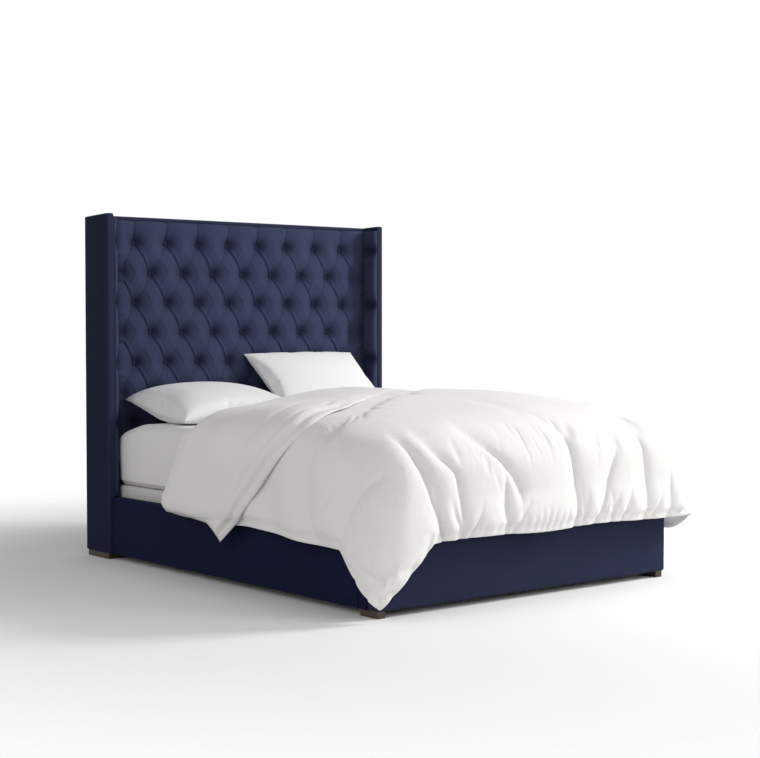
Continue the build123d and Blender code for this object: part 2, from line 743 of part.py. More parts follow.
def duvet_form(rise, head_reach, bottom):
    """The outside of the duvet, lofted through outlines with a straight head end."""
    with BuildPart() as made:
        for level in range(len(duvet_height_shares)):
            height = bottom + duvet_height_shares[level] * (duvet_crown + rise - bottom)
            half = duvet_side_shares[level] * duvet_half_width + rise
            foot = wing_front_y - duvet_foot_shares[level] * duvet_length
            turn = duvet_corner_shares[level] * half
            head = wing_front_y - duvet_head_shares[level] * duvet_head_setback + head_reach
            skew = duvet_head_skew * half / duvet_half_width
            near, far = turn * (1 - sin(radians(30))), turn * (1 - sin(radians(60)))
            corner = ((0, turn), (far, near), (near, far), (turn, 0))
            with BuildSketch(Plane.XY.offset(height)):
                with BuildLine():
                    Polyline((-half, head), *[(x - half, foot + y) for x, y in corner],
                             *[(half - x, foot + y) for x, y in reversed(corner)],
                             (half, head + skew), close=True)
                make_face()
        loft(ruled=True)
    return made.part


def at_height(table, height_share):
    """The value that a table of the duvet's levels has at a share of its height."""
    levels = list(zip(duvet_height_shares, table))
    for (low, low_value), (high, high_value) in zip(levels, levels[1:]):
        if height_share <= high:
            return low_value + (high_value - low_value) * (height_share - low) / (high - low)


def fold(hem_place, end_place, sideways):
    """A groove that runs up from the hem and narrows to its end, both given as points."""
    outward = sideways.cross(Vector(0, 0, 1))
    with BuildPart() as made:
        for place, size_share in ((hem_place, 1), (end_place, fold_end_share)):
            mouth = place + outward * fold_depth
            spread = sideways * (2 * fold_width * size_share)
            with BuildSketch(Plane.XY.offset(place.Z)):
                with BuildLine():
                    Polyline(*[(point.X, point.Y) for point in
                               (mouth - spread, mouth + spread, place - outward * (fold_depth * size_share))],
                             close=True)
                make_face()
        loft(ruled=True)
    return made.part


duvet_folds = []
for hem_share, end_share, height_share in foot_fold_shares:
    fold_top = duvet_hem + height_share * (duvet_crown - duvet_hem)
    foot_share = at_height(duvet_foot_shares, height_share)
    duvet_folds.append(fold(Vector(hem_share * duvet_half_width, duvet_foot_y, duvet_hem),
                            Vector(end_share * duvet_half_width, wing_front_y - foot_share * duvet_length,
                                   fold_top), Vector(1, 0, 0)))
for side, side_fold_shares in ((-1, left_fold_shares), (1, right_fold_shares)):
    for hem_share, end_share, height_share in side_fold_shares:
        fold_top = duvet_hem + height_share * (duvet_crown - duvet_hem)
        side_share = at_height(duvet_side_shares, height_share)
        duvet_folds.append(fold(Vector(side * duvet_half_width, wing_front_y - hem_share * duvet_length,
                                       duvet_hem),
                                Vector(side * side_share * duvet_half_width,
                                       wing_front_y - end_share * duvet_length, fold_top),
                                Vector(0, side, 0)))


# The space under the duvet: the mattress above, and the wider rails and footboard below.
rail_level = (rail_outer, footboard_front_y, cover_edge_radius / 2)
mattress_level = (sheet_side, mattress_foot_y, mattress_corner_radius / 2)
under_levels = ((0, rail_level), (rail_top + mattress_side_gap, rail_level),
                (mattress_top - 3 * mattress_edge_chamfer, mattress_level),
                (bed_top + soft_gap, mattress_level))
with BuildPart() as under_duvet:
    for level_z, (level_side, level_foot, corner_cut) in under_levels:
        side_x = level_side + duvet_rail_gap
        foot_y = level_foot - duvet_rail_gap
        with BuildSketch(Plane.XY.offset(level_z)):
            with BuildLine():
                Polyline((-side_x, foot_y + corner_cut), (corner_cut - side_x, foot_y),
                         (side_x - corner_cut, foot_y), (side_x, foot_y + corner_cut),
                         (side_x, rear_y), (-side_x, rear_y), close=True)
            make_face()
    loft(ruled=True)

# The corner that hangs to the floor at the left foot
with BuildPart() as corner_fall:
    with BuildSketch(Plane.XY.offset(duvet_hem + corner_root)):
        with Locations((corner_fall_inset - rail_outer, footboard_front_y + corner_fall_inset)):
            RegularPolygon(corner_fall_spread, round_sides)
    with BuildSketch(Plane.XY.offset(corner_fall_height)):
        with Locations((-rail_outer - corner_fall_reach, footboard_front_y - corner_fall_reach)):
            RegularPolygon(corner_fall_radius, round_sides)
    loft(ruled=True)

# The corner that sticks out over the right foot
with BuildPart() as corner_lift:
    with BuildSketch(Plane.XY.offset(rail_top + corner_fall_radius)):
        with Locations((rail_outer - corner_fall_radius, footboard_front_y + corner_fall_radius)):
            RegularPolygon(corner_fall_spread / 2, round_sides)
    with BuildSketch(Plane.XY.offset(duvet_hem - corner_lift_radius)):
        with Locations((rail_outer + corner_lift_reach, footboard_front_y - corner_lift_reach)):
            RegularPolygon(corner_lift_radius, round_sides)
    loft(ruled=True)

# The head end turned back over itself, whose hem runs down the sides to a hanging point
flap_form = duvet_form(flap_rise, flap_crease_reach, flap_tip_height)
with BuildPart() as flap:
    with BuildSketch(Plane.YZ):
        with BuildLine():
            Polyline((wing_front_y - flap_edge_setback, duvet_crown + 2 * flap_rise),
                     (wing_front_y - flap_edge_setback, flap_edge_height),
                     (wing_front_y - flap_tip_setback, flap_tip_height),
                     (wing_front_y - flap_hem_setback, duvet_hem),
                     (wing_front_y, duvet_hem),
                     (wing_front_y, duvet_crown + 2 * flap_rise), close=True)
        make_face()
    extrude(amount=overall_length, both=True)
    add(flap_form, mode=Mode.INTERSECT)

main_form = duvet_form(0, 0, duvet_hem)
with BuildPart() as duvet:
    add(main_form)
    add(duvet_folds, mode=Mode.SUBTRACT)
    add(corner_fall.part)
    add(corner_lift.part)
    add(flap.part)
    add(under_duvet.part, mode=Mode.SUBTRACT)
save(duvet, "duvet")
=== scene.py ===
"""A queen size bed with a tall diamond-tufted velvet wingback headboard, made up with its bedding.

The sections follow the bed as it is put together: frame, velvet covers, tufting, base, bedding.
"""

import bpy
import numpy as np
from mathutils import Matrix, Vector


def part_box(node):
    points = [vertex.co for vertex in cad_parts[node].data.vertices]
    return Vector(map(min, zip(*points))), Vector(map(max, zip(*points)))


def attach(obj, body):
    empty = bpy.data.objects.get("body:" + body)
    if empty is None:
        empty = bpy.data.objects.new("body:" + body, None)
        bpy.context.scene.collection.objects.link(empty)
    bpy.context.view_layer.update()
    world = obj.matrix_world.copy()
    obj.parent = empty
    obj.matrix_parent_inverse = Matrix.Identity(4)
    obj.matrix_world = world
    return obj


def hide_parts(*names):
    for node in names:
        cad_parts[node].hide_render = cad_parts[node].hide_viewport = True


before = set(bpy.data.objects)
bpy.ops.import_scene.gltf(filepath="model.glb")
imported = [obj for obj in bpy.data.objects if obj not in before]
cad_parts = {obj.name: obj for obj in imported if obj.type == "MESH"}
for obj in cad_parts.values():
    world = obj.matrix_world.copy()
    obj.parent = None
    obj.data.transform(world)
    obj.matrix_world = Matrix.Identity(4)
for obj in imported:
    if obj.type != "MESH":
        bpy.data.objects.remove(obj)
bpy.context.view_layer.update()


# The headboard frame: five planed softwood sticks, glued up and screwed behind the foam.
# The slats, their cleats, the centre legs and the boards in the rails are the same timber.


class Wire:
    """A shader socket that can be reckoned with: each sum on it adds the Math node that does it."""

    def __init__(self, tree, socket):
        self.tree = tree
        self.socket = socket

    def sum(self, operation, *values):
        node = self.tree.nodes.new("ShaderNodeMath")
        node.operation = operation
        for slot, value in zip(node.inputs, values):
            feed(self.tree, slot, value)
        return Wire(self.tree, node.outputs[0])

    def __add__(self, other):
        return self.sum("ADD", self, other)

    def __mul__(self, other):
        return self.sum("MULTIPLY", self, other)

    __radd__ = __add__
    __rmul__ = __mul__


def feed(tree, slot, value):
    """Links a wire to a socket, or sets the socket to a number, a colour or a vector."""
    if isinstance(value, Wire):
        tree.links.new(value.socket, slot)
    elif isinstance(value, tuple) and len(value) == 3 and slot.type == "RGBA":
        slot.default_value = (*value, 1)
    else:
        slot.default_value = value


class Finish:
    """A material on the making bench, with one method that adds any node to it."""

    def __init__(self, name, **fixed):
        self.material = bpy.data.materials.new(name)
        self.material.use_nodes = True
        self.tree = self.material.node_tree
        self.shader = self.tree.nodes["Principled BSDF"]
        self.place = self.node("ShaderNodeTexCoord", output="Object")
        self.wear(**fixed)

    def node(self, kind, settings=None, output=0, stops=None, **values):
        node = self.tree.nodes.new(kind)
        for key, value in (settings or {}).items():
            setattr(node, key, value)
        if stops:
            ramp = node.color_ramp
            while len(ramp.elements) < len(stops):
                ramp.elements.new(0.5)
            for element, (at, colour) in zip(ramp.elements, stops):
                element.position = at
                element.color = (*colour, 1)
        for key, value in values.items():
            name = key.replace("_", " ")
            slot = node.inputs[int(name[1:])] if name[1:].isdigit() else node.inputs[name]
            feed(self.tree, slot, value)
        return Wire(self.tree, node.outputs[output])

    def wear(self, **values):
        """Sets the shader's own sockets by name, with underscores for the spaces."""
        for key, value in values.items():
            feed(self.tree, self.shader.inputs[key.replace("_", " ")], value)

    def noise(self, scale, detail=2.0, stretch=(1, 1, 1), roughness=0.5):
        """Cloudy variation from 0 to 1, at so many blotches a metre, stretched along the axes."""
        place = self.node("ShaderNodeMapping", Vector=self.place, Scale=stretch)
        return self.node("ShaderNodeTexNoise", Vector=place, Scale=scale, Detail=detail,
                         Roughness=roughness)

    def tint(self, mask, dark, light):
        """A colour that goes from dark to light with the mask."""
        return self.node("ShaderNodeMix", {"data_type": "RGBA"}, 2, Factor=mask, i6=dark, i7=light)

    def relief(self, height, distance, strength=1.0, under=None):
        """Raises the surface by a height from 0 to 1, over so many metres."""
        more = {"Normal": under} if under else {}
        return self.node("ShaderNodeBump", Height=height, Distance=distance, Strength=strength, **more)


def timber(name, dark, light, gloss, stretch):
    """Long grain: noise drawn out along the board, with finer pores over it."""
    finish = Finish(name, Roughness=gloss)
    grain = finish.noise(26, 4, stretch, 0.62)
    pores = finish.noise(240, 2, stretch)
    finish.wear(Base_Color=finish.tint(grain * 0.75 + pores * 0.25, dark, light),
                Normal=finish.relief(pores, 0.0006, 0.35))
    return finish.material


def paint(material, *names):
    """Gives CAD nodes their finish."""
    for name in names:
        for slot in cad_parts[name].material_slots:
            slot.material = material


pine = (0.42, 0.27, 0.14), (0.66, 0.48, 0.29), 0.62
upright_pine = timber("upright_pine", *pine, (1, 1, 0.08))
cross_pine = timber("cross_pine", *pine, (0.08, 1, 1))
long_pine = timber("long_pine", *pine, (1, 0.08, 1))
paint(upright_pine, "headboard_post_left", "headboard_post_right",
      *[f"centre_leg_{i}" for i in (1, 2, 3)])
paint(cross_pine, "headboard_top_rail", "headboard_middle_rail", "headboard_bottom_rail",
      "footboard_core", *[f"slat_{i}" for i in (1, 2, 3, 4, 5)])
paint(long_pine, *[f"{part}_{hand}" for part in ("side_rail_core", "slat_cleat", "footboard_return_core")
                   for hand in ("left", "right")])

# Birch plywood: the panel on the sticks that carries the foam, and the board inside each wing.
# The grain of its outer ply runs upright.
birch = timber("birch_plywood", (0.55, 0.39, 0.22), (0.72, 0.56, 0.36), 0.55, (0.25, 1, 0.12))
paint(birch, "headboard_panel", "wing_core_left", "wing_core_right")

# Zinc plated steel: the brackets that join the rails to the headboard, the plates at the foot
# joints, and the bolts through rails and wings.
zinc = Finish("zinc_plate", Metallic=1.0)
zinc_cloud = zinc.noise(90, 3)
zinc.wear(Base_Color=zinc.tint(zinc_cloud, (0.42, 0.43, 0.45), (0.62, 0.63, 0.66)),
          Roughness=zinc_cloud * 0.2 + 0.3, Normal=zinc.relief(zinc.noise(900, 2), 0.0002, 0.3))
paint(zinc.material, "head_bracket_left", "head_bracket_right", "foot_joint_plate_left",
      "foot_joint_plate_right", "rail_bolts", "wing_bolts")

# The four block feet: hardwood, planed square and stained dark with a satin finish. They are
# screwed up under the corners of the frame.
stain = timber("dark_stain", (0.012, 0.007, 0.004), (0.060, 0.036, 0.020), 0.42, (1, 0.12, 1))
paint(stain, "head_leg_left", "head_leg_right", "foot_leg_left", "foot_leg_right")

# Screw glides of moulded black nylon, one in the end of each centre leg. They are turned in and
# out, to take up an uneven floor.
nylon = Finish("black_nylon", Base_Color=(0.018, 0.018, 0.019), Roughness=0.45)
nylon.wear(Normal=nylon.relief(nylon.noise(1500, 2), 0.0002, 0.4))
paint(nylon.material, "glide_1", "glide_2", "glide_3")

# Black dust cloth: a thin bonded sheet, cut to the headboard's back and stapled over the frame
# to hide it.
dust = Finish("dust_cloth", Roughness=0.95)
dust_weave = dust.noise(1400, 2)
dust.wear(Base_Color=dust.tint(dust_weave, (0.010, 0.011, 0.018), (0.030, 0.032, 0.048)),
          Normal=dust.relief(dust_weave, 0.0006, 0.6))
paint(dust.material, "headboard_back_cover")


# The velvet covers: short-pile navy velvet drawn tight over thin padding on the rails, the
# footboard and both wings, and stapled out of sight on the inside.
def velvet(name, dark, light, sheen):
    """Short pile: slow clouds where the nap lies differently, darkened towards black navy by painted shade
    from an attribute.
    """
    finish = Finish(name, Roughness=0.85, Sheen_Weight=sheen, Sheen_Roughness=0.42,
                    Sheen_Tint=(0.55, 0.62, 0.95, 1), Specular_IOR_Level=0.06)
    nap = finish.noise(5.5, 4, (1, 1, 0.55), 0.6)
    fibre = finish.noise(950, 2)
    creep = finish.noise(34, 3)
    painted_shade_mask = finish.node("ShaderNodeAttribute", {"attribute_name": "painted_shade"}, 2)
    pile = finish.tint(nap * 0.65 + fibre * 0.35, dark, light)
    # The near-black navy is painted shade, mixed in by the point attribute: in the tufts' wells, on the
    # wings, the roll and the buttons.
    finish.wear(Base_Color=finish.tint(painted_shade_mask, pile, (0.008, 0.010, 0.026)),
                Normal=finish.relief(fibre, 0.0007, 0.5, finish.relief(creep, 0.0016, 0.45)))
    return finish.material


# The side and foot velvets are darker copies of the front one: painted shade for the rails, returns and
# footboard, which face away from the light.
navy_front = velvet("velvet_front", (0.025, 0.031, 0.066), (0.047, 0.058, 0.112), 0.12)
navy_side_painted_shade = velvet("velvet_side_painted_shade", (0.0055, 0.0075, 0.026), (0.0095, 0.0130, 0.042), 0.02)
navy_foot_painted_shade = velvet("velvet_foot_painted_shade", (0.015, 0.018, 0.042), (0.025, 0.030, 0.063), 0.06)


def weave(rows, columns, wrap=False):
    """The four-cornered faces of a grid of points; wrap joins the last column to the first."""
    index = np.arange(rows * columns).reshape(rows, columns)
    if wrap:
        index = np.hstack([index, index[:, :1]])
    return np.stack([index[:-1, :-1], index[:-1, 1:], index[1:, 1:], index[1:, :-1]], -1).reshape(-1, 4)


def stitch(points, quads, caps=()):
    """Joins points that lie together, and drops the faces that this closes up."""
    _, first, index = np.unique(np.round(points, 6), axis=0, return_index=True, return_inverse=True)
    quads = index.ravel()[quads]
    ring = np.roll(quads, -1, axis=1)
    kept = (quads != ring).sum(1)
    corners = [list(dict.fromkeys(face)) for face in quads[kept == 3].tolist()]
    return points[first], quads[kept == 4], corners + [index.ravel()[list(cap)].tolist() for cap in caps]


def tailor(name, points, quads, material, body, caps=(), painted_shade=None):
    """Makes the piece: a smooth mesh with its finish, on its body."""
    mesh = bpy.data.meshes.new(name)
    sizes = np.concatenate([np.full(len(quads), 4), [len(cap) for cap in caps]]).astype(np.int32)
    corners = np.concatenate([np.ravel(quads), *[np.ravel(cap) for cap in caps]]).astype(np.int32)
    mesh.vertices.add(len(points))
    mesh.vertices.foreach_set("co", np.ravel(points).astype(np.float32))
    mesh.loops.add(len(corners))
    mesh.loops.foreach_set("vertex_index", corners)
    mesh.polygons.add(len(sizes))
    mesh.polygons.foreach_set("loop_start", np.concatenate([[0], np.cumsum(sizes)[:-1]]).astype(np.int32))
    mesh.update(calc_edges=True)
    mesh.validate()
    mesh.shade_smooth()
    # The point attribute carries painted shade for the velvet.
    if painted_shade is not None:
        mesh.attributes.new("painted_shade", "FLOAT", "POINT").data.foreach_set("value", painted_shade.astype(np.float32))
    mesh.materials.append(material)
    piece = bpy.data.objects.new(name, mesh)
    bpy.context.scene.collection.objects.link(piece)
    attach(piece, body)
    return piece


def smooth(low, high, value):
    """0 below low, 1 above high, and an S-shaped rise between them."""
    share = np.clip((value - low) / (high - low), 0, 1)
    return share * share * (3 - 2 * share)


def padded_board(low, high, radius, step, crown=0.0):
    """A box with rounded edges: each point is pushed out by the radius from the box shrunk by it.

    The crown lifts the broad faces by a share that falls to nothing at their edges.
    """
    low, high = np.array(low), np.array(high)
    turn = radius * (1 - np.cos(np.linspace(0, np.pi / 2, 5)))
    lines = [np.concatenate([a + turn, np.linspace(a + radius, b - radius,
                                                   max(2, int((b - a) / step)))[1:-1], (b - turn)[::-1]])
             for a, b in zip(low, high)]
    points, quads, count = [], [], 0
    for axis in range(3):
        for end, place in ((0, low[axis]), (1, high[axis])):
            u, v = [(1, 2), (2, 0), (0, 1)][axis]
            if not end:
                u, v = v, u
            grid_v, grid_u = np.meshgrid(lines[v], lines[u], indexing="ij")
            side = np.empty(grid_u.shape + (3,))
            side[..., u], side[..., v], side[..., axis] = grid_u, grid_v, place
            points.append(side.reshape(-1, 3))
            quads.append(weave(*grid_u.shape) + count)
            count += grid_u.size
    points, quads = np.concatenate(points), np.concatenate(quads)
    core = np.clip(points, low + radius, high - radius)
    out = points - core
    out /= np.linalg.norm(out, axis=1, keepdims=True)
    centre, half = (low + high) / 2, (high - low) / 2
    share = 1 - ((points - centre) / half) ** 2
    lift = np.ones(len(points))
    for axis in range(3):
        lift = lift * np.where(np.abs(out[:, axis]) > 0.9, 1, np.clip(share[:, axis], 0, 1) ** 0.5)
    points = core + out * (radius + crown * lift)[:, None]
    return stitch(points, quads)


for hand in ("left", "right"):
    for part in ("side_rail_cover", "footboard_return_cover"):
        low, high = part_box(f"{part}_{hand}")
        points, quads, caps = padded_board(low, high, radius=0.009, step=0.03, crown=0.0012)
        cover = tailor(f"{part}_velvet_{hand}", points, quads, navy_side_painted_shade, "bed_frame", caps)
        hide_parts(f"{part}_{hand}")

low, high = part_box("footboard_cover")
points, quads, caps = padded_board(low, high, radius=0.012, step=0.03, crown=0.002)
foot_cover = tailor("footboard_velvet", points, quads, navy_foot_painted_shade, "bed_frame", caps)
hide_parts("footboard_cover")

# The wings: velvet over a padded board. Its top edge falls a little towards the back, and a seam
# sets off a border along the front of the outer face. Painted shade darkens the velvet all over but for
# the front edge.
border, seam_width, seam_depth, top_fall = 0.030, 0.0022, 0.0016, 0.008
for hand, side in (("left", -1), ("right", 1)):
    low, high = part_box(f"wing_cover_{hand}")
    points, quads, caps = padded_board(low, high, radius=0.008, step=0.012, crown=0.0015)
    seam = np.exp(-((points[:, 1] - low[1] - border) / seam_width) ** 2)
    outer = smooth(0.6, 0.9, side * (points[:, 0] - (low[0] + high[0]) / 2) / (high[0] - low[0]) * 2)
    points[:, 0] -= side * seam_depth * outer * seam
    back = (points[:, 1] - low[1]) / (high[1] - low[1])
    points[:, 2] -= top_fall * back * smooth(1.0, 1.6, points[:, 2])
    front_edge = smooth(low[1] + 0.012, low[1] + 0.002, points[:, 1])
    # Painted shade: nearly full over the wing, about half on its front edge.
    wing = tailor(f"wing_velvet_{hand}", points, quads, navy_front, "bed_frame", caps,
                  0.97 - 0.50 * front_edge)
    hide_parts(f"wing_cover_{hand}")

# The roll along the top of the headboard: velvet round a thin strip of foam, drawn tight between
# the wings and tacked to the back. Painted shade darkens it part way.
low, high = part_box("headboard_top_roll")
points, quads, caps = padded_board(low, high, radius=0.0075, step=0.02, crown=0.001)
roll = tailor("headboard_roll_velvet", points, quads, navy_front, "bed_frame", caps,
              np.full(len(points), 0.40))
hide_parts("headboard_top_roll")


# The tufting: thick foam and velvet, drawn back to the panel by covered buttons in a diamond
# grid. The spare cloth between the buttons is folded into pleats, each lapped over the lower side.
# Above the top row, and in front of the wings' buttons, the pleats run straight to the edge.
column_pitch, row_pitch, first_row = 0.1814, 0.1464, 1.521
# The distance between neighbouring pleats of one set
diamond = column_pitch * row_pitch / np.hypot(column_pitch / 2, row_pitch)
# How far the lips of both sets stand out where a pleat is lap_pleat deep, and the heights between
# which the tufting fades in
long_lap, short_lap, lap_pleat = 0.0052, 0.0020, 0.011
tufted_from = 0.58, 0.66


def tuft_recess(x, z, pleat, well, reach):
    """How far the cover lies behind its puffs.

    Two crossing sets of pleats cut the plane into diamonds. The puff is the product of a parabola
    across each set, raised to a low power so that it drops steeply at the pleats. Every button adds
    a bell-shaped well with a few creases round it, and each pleat a lip along its upper side. Also
    gives painted shade for the wells: a bell about a place a little above and beside each button.
    """
    fall = np.minimum(z - first_row, 0)
    x = x + 0.0016 * np.sin(31 * z + 17 * x)
    a = x / column_pitch - 0.5 + fall / (2 * row_pitch)
    b = x / column_pitch - 0.5 - fall / (2 * row_pitch)
    off_a, off_b = a - np.round(a), b - np.round(b)
    puff = (1 - (1 - 2 * np.abs(off_a)) ** 2) * (1 - (1 - 2 * np.abs(off_b)) ** 2)
    puff_x = ((np.floor(a) + np.floor(b)) / 2 + 1) * 7.3
    puff_z = (np.floor(a) - np.floor(b)) * 3.1
    plump = 0.0013 * np.sin(puff_x + puff_z * 2.7)
    at_x = ((np.round(a) + np.round(b)) / 2 + 0.5) * column_pitch
    at_z = first_row + (np.round(a) - np.round(b)) * row_pitch
    away = np.hypot(x - at_x, z - at_z)
    turn = np.arctan2(z - at_z, x - at_x)
    crease = 0.0011 * np.sin(9 * turn + 40 * at_x + 23 * at_z) * np.exp(-((away - 0.028) / 0.014) ** 2)
    lip_a = np.exp(-((off_a * diamond - 0.0075) / 0.0050) ** 2) * (1 - (1 - 2 * np.abs(off_b)) ** 2)
    lip_b = np.exp(-((-off_b * diamond - 0.0075) / 0.0050) ** 2) * (1 - (1 - 2 * np.abs(off_a)) ** 2)
    lips = np.where(fall < 0, long_lap * lip_a + short_lap * lip_b, long_lap * lip_a)
    body = pleat * (1 - puff ** 0.36)
    # Painted shade: darkens the pile beside each button, where its well lies in shade.
    painted_shade = 0.9 * np.exp(-(np.hypot((x - at_x - 0.012) / 1.1, z - at_z - 0.006) / 0.036) ** 2)
    dimple = well * np.exp(-(away / reach) ** 1.5)
    return body + dimple + crease + plump - lips * pleat / lap_pleat, painted_shade


def quilt(name, spread, heights, reach_out, back, axis):
    """A tufted face with straight walls to a flat back, which lies square to the axis.

    reach_out gives the places of the face and its painted shade.
    """
    s, z = np.meshgrid(spread, heights)
    front, painted_shade = reach_out(s, z)
    rows, columns = s.shape
    quads = weave(rows, columns)
    index = np.arange(rows * columns).reshape(rows, columns)
    ring = np.concatenate([index[0], index[1:, -1], index[-1, -2::-1], index[-2:0:-1, 0]])
    points = front.reshape(-1, 3)
    rim = points[ring].copy()
    rim[:, axis] = back
    behind = np.arange(len(ring)) + len(points)
    walls = np.stack([np.roll(ring, -1), ring, behind, np.roll(behind, -1)], -1)
    painted_shade = np.concatenate([painted_shade.ravel(), np.zeros(len(ring))])
    return tailor(name, np.concatenate([points, rim]), np.concatenate([quads, walls]), navy_front,
                  "bed_frame", [behind[::-1]], painted_shade)


# Mesh steps to half a column's pitch and to a row's, so that its lines run through every button
fine = 26
low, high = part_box("headboard_pad")
puff_y, pad_top, pad_side = low[1], high[2], high[0]
button_depth = 0.035
lattice_x = np.arange(-200, 201) * column_pitch / 2 / fine
heights = np.concatenate([np.linspace(low[2], 0.60, 8),
                          (first_row - np.arange(0, 165) * row_pitch / fine)[::-1],
                          np.linspace(first_row, pad_top, 20)[1:]])
heights = np.unique(np.round(heights[(heights >= low[2]) & (heights <= pad_top)], 6))
spread = np.concatenate([[-pad_side], lattice_x[np.abs(lattice_x) < pad_side - 0.001], [pad_side]])


def headboard_face(x, z):
    """The tufting, flat behind the mattress, rounded over at the top and drawn forward at the wings."""
    tufts, painted_shade = tuft_recess(x, z, 0.012, button_depth - 0.012, 0.050)
    recess = tufts * smooth(*tufted_from, z) + 0.009 * smooth(pad_top - 0.014, pad_top, z) ** 2
    recess = recess - 0.016 * smooth(pad_side - 0.040, pad_side, np.abs(x)) ** 2
    return np.stack([x, puff_y + np.maximum(recess, -0.016), z], -1), painted_shade * smooth(*tufted_from, z)


headboard_quilt = quilt("headboard_tufting", spread, heights, headboard_face, high[1], axis=1)
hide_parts("headboard_pad")

wing_low, wing_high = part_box("wing_buttons_left")
wing_button_y = (wing_low[1] + wing_high[1]) / 2
wing_fine = 16
for hand, side in (("left", -1), ("right", 1)):
    low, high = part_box(f"wing_pad_{hand}")
    face = min(abs(low[0]), abs(high[0]))
    wall = max(abs(low[0]), abs(high[0]))

    def wing_face(y, z, side=side, face=face, low=low):
        """The same tufting on the inner face of a wing, scalloped along its front edge."""
        along = np.maximum(y - wing_button_y, 0) + column_pitch / 2
        tufts, painted_shade = tuft_recess(along, z, 0.006, 0.010, 0.036)
        edge = smooth(low[1] + 0.014, low[1], y)
        recess = tufts * smooth(*tufted_from, z) + 0.010 * edge ** 2
        return np.stack([side * (face + np.maximum(recess, 0)), y, z], -1), painted_shade * smooth(*tufted_from, z)

    steps = np.arange(-40, 80) * column_pitch / 2 / wing_fine + wing_button_y
    steps = steps[(steps > low[1] + 0.002) & (steps < high[1] - 0.002)]
    steps = np.concatenate([[low[1]], steps, [high[1]]])
    if side > 0:
        steps = steps[::-1]
    pad = quilt(f"wing_tufting_{hand}", steps, heights[heights >= low[2]], wing_face,
                side * wall, axis=0)
    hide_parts(f"wing_pad_{hand}")

# Covered buttons: velvet gathered over a domed shell, and tied through the foam to the panel. There
# are 51 of them in six rows on the headboard, and three down each wing.
button_radius, button_sides = 0.0121, 14
dome_turn, dome_rise = np.meshgrid(np.linspace(0, 2 * np.pi, button_sides + 1)[:-1],
                                   np.linspace(0, 1, 6))
dome_radius = np.cos(dome_rise * np.pi / 2) ** 0.7
dome = np.stack([dome_radius * np.cos(dome_turn), dome_radius * np.sin(dome_turn),
                 np.sin(dome_rise * np.pi / 2)], -1).reshape(-1, 3)
dome_quads = weave(*dome_turn.shape, wrap=True)


def button_set(name, places, out, across, rise, node):
    """One domed button at each place, with its back closed by a flat face.

    The dome's radius is a cosine to a low power of its rise, and its height a sine.
    """
    up = np.array((0, 0, 1.0))
    turned = (dome[:, :1] * across + dome[:, 1:2] * up) * button_radius + dome[:, 2:] * out * rise
    points, quads, caps = [], [], []
    for count, place in enumerate(places):
        points.append(turned + place)
        quads.append(dome_quads + count * len(dome))
        caps.append((np.arange(button_sides)[::-1] + count * len(dome)).tolist())
    joined, faces, corners = stitch(np.concatenate(points), np.concatenate(quads), caps)
    # The buttons are darkened by painted shade.
    buttons = tailor(name, joined, faces, navy_front, "bed_frame", corners,
                     np.full(len(joined), 0.75))
    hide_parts(node)


places = []
for row in range(6):
    count = 8 + row % 2
    for column in range(count):
        places.append(((column - (count - 1) / 2) * column_pitch, puff_y + button_depth - 0.002,
                       first_row - row * row_pitch))
button_set("headboard_button_covers", np.array(places), np.array((0, -1.0, 0)),
           np.array((1.0, 0, 0)), 0.007, "headboard_buttons")
for hand, side in (("left", -1), ("right", 1)):
    low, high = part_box(f"wing_buttons_{hand}")
    base = max(abs(low[0]), abs(high[0]))
    places = np.array([(side * base, wing_button_y, first_row - row * row_pitch) for row in (0, 2, 4)])
    button_set(f"wing_button_covers_{hand}", places, np.array((-side, 0, 0.0)),
               np.array((0, -side, 0.0)), 0.005, f"wing_buttons_{hand}")


# The box spring and the mattress: springs under padding, closed in plain ticking that is drawn
# tight over rounded corners. The sheet leaves only the lowest edge of the mattress bare.
def cotton(name, dark, light, weave_depth, wrinkle):
    """Fine plain weave under soft creases of two sizes."""
    finish = Finish(name, Roughness=0.88, Sheen_Weight=0.12, Sheen_Roughness=0.5)
    cloth = finish.noise(1600, 2)
    soft = finish.noise(7, 3, (1, 1, 0.7), 0.55)
    fold = finish.noise(19, 3, (1, 0.7, 1), 0.6)
    creased = finish.relief(fold, 0.006, wrinkle, finish.relief(soft, 0.016, wrinkle))
    finish.wear(Base_Color=finish.tint(cloth * 0.3 + soft * 0.7, dark, light),
                Normal=finish.relief(cloth, 0.0005, weave_depth, creased))
    return finish.material


ticking = cotton("ticking", (0.60, 0.595, 0.58), (0.66, 0.655, 0.64), weave_depth=0.6, wrinkle=0.05)


def round_plan(points, low, high, radius):
    """Rounds the upright corners of a box: what lies past a corner's centre is drawn onto its circle."""
    half = np.array((high[0] - low[0], high[1] - low[1])) / 2 - radius
    centre = np.array((high[0] + low[0], high[1] + low[1])) / 2
    local = points[:, :2] - centre
    core = np.clip(local, -half, half)
    out = local - core
    length = np.linalg.norm(out, axis=1)
    square = np.max(np.abs(out), axis=1)
    scale = np.where(length > 1e-9, square / np.maximum(length, 1e-9), 1)
    points[:, :2] = core + out * scale[:, None] + centre
    return points


low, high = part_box("box_spring")
points, quads, caps = padded_board(low, high, radius=0.014, step=0.035, crown=0.002)
points = round_plan(points, low, high, radius=0.06)
box = tailor("box_spring_ticking", points, quads, ticking, "box_spring", caps)
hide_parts("box_spring")

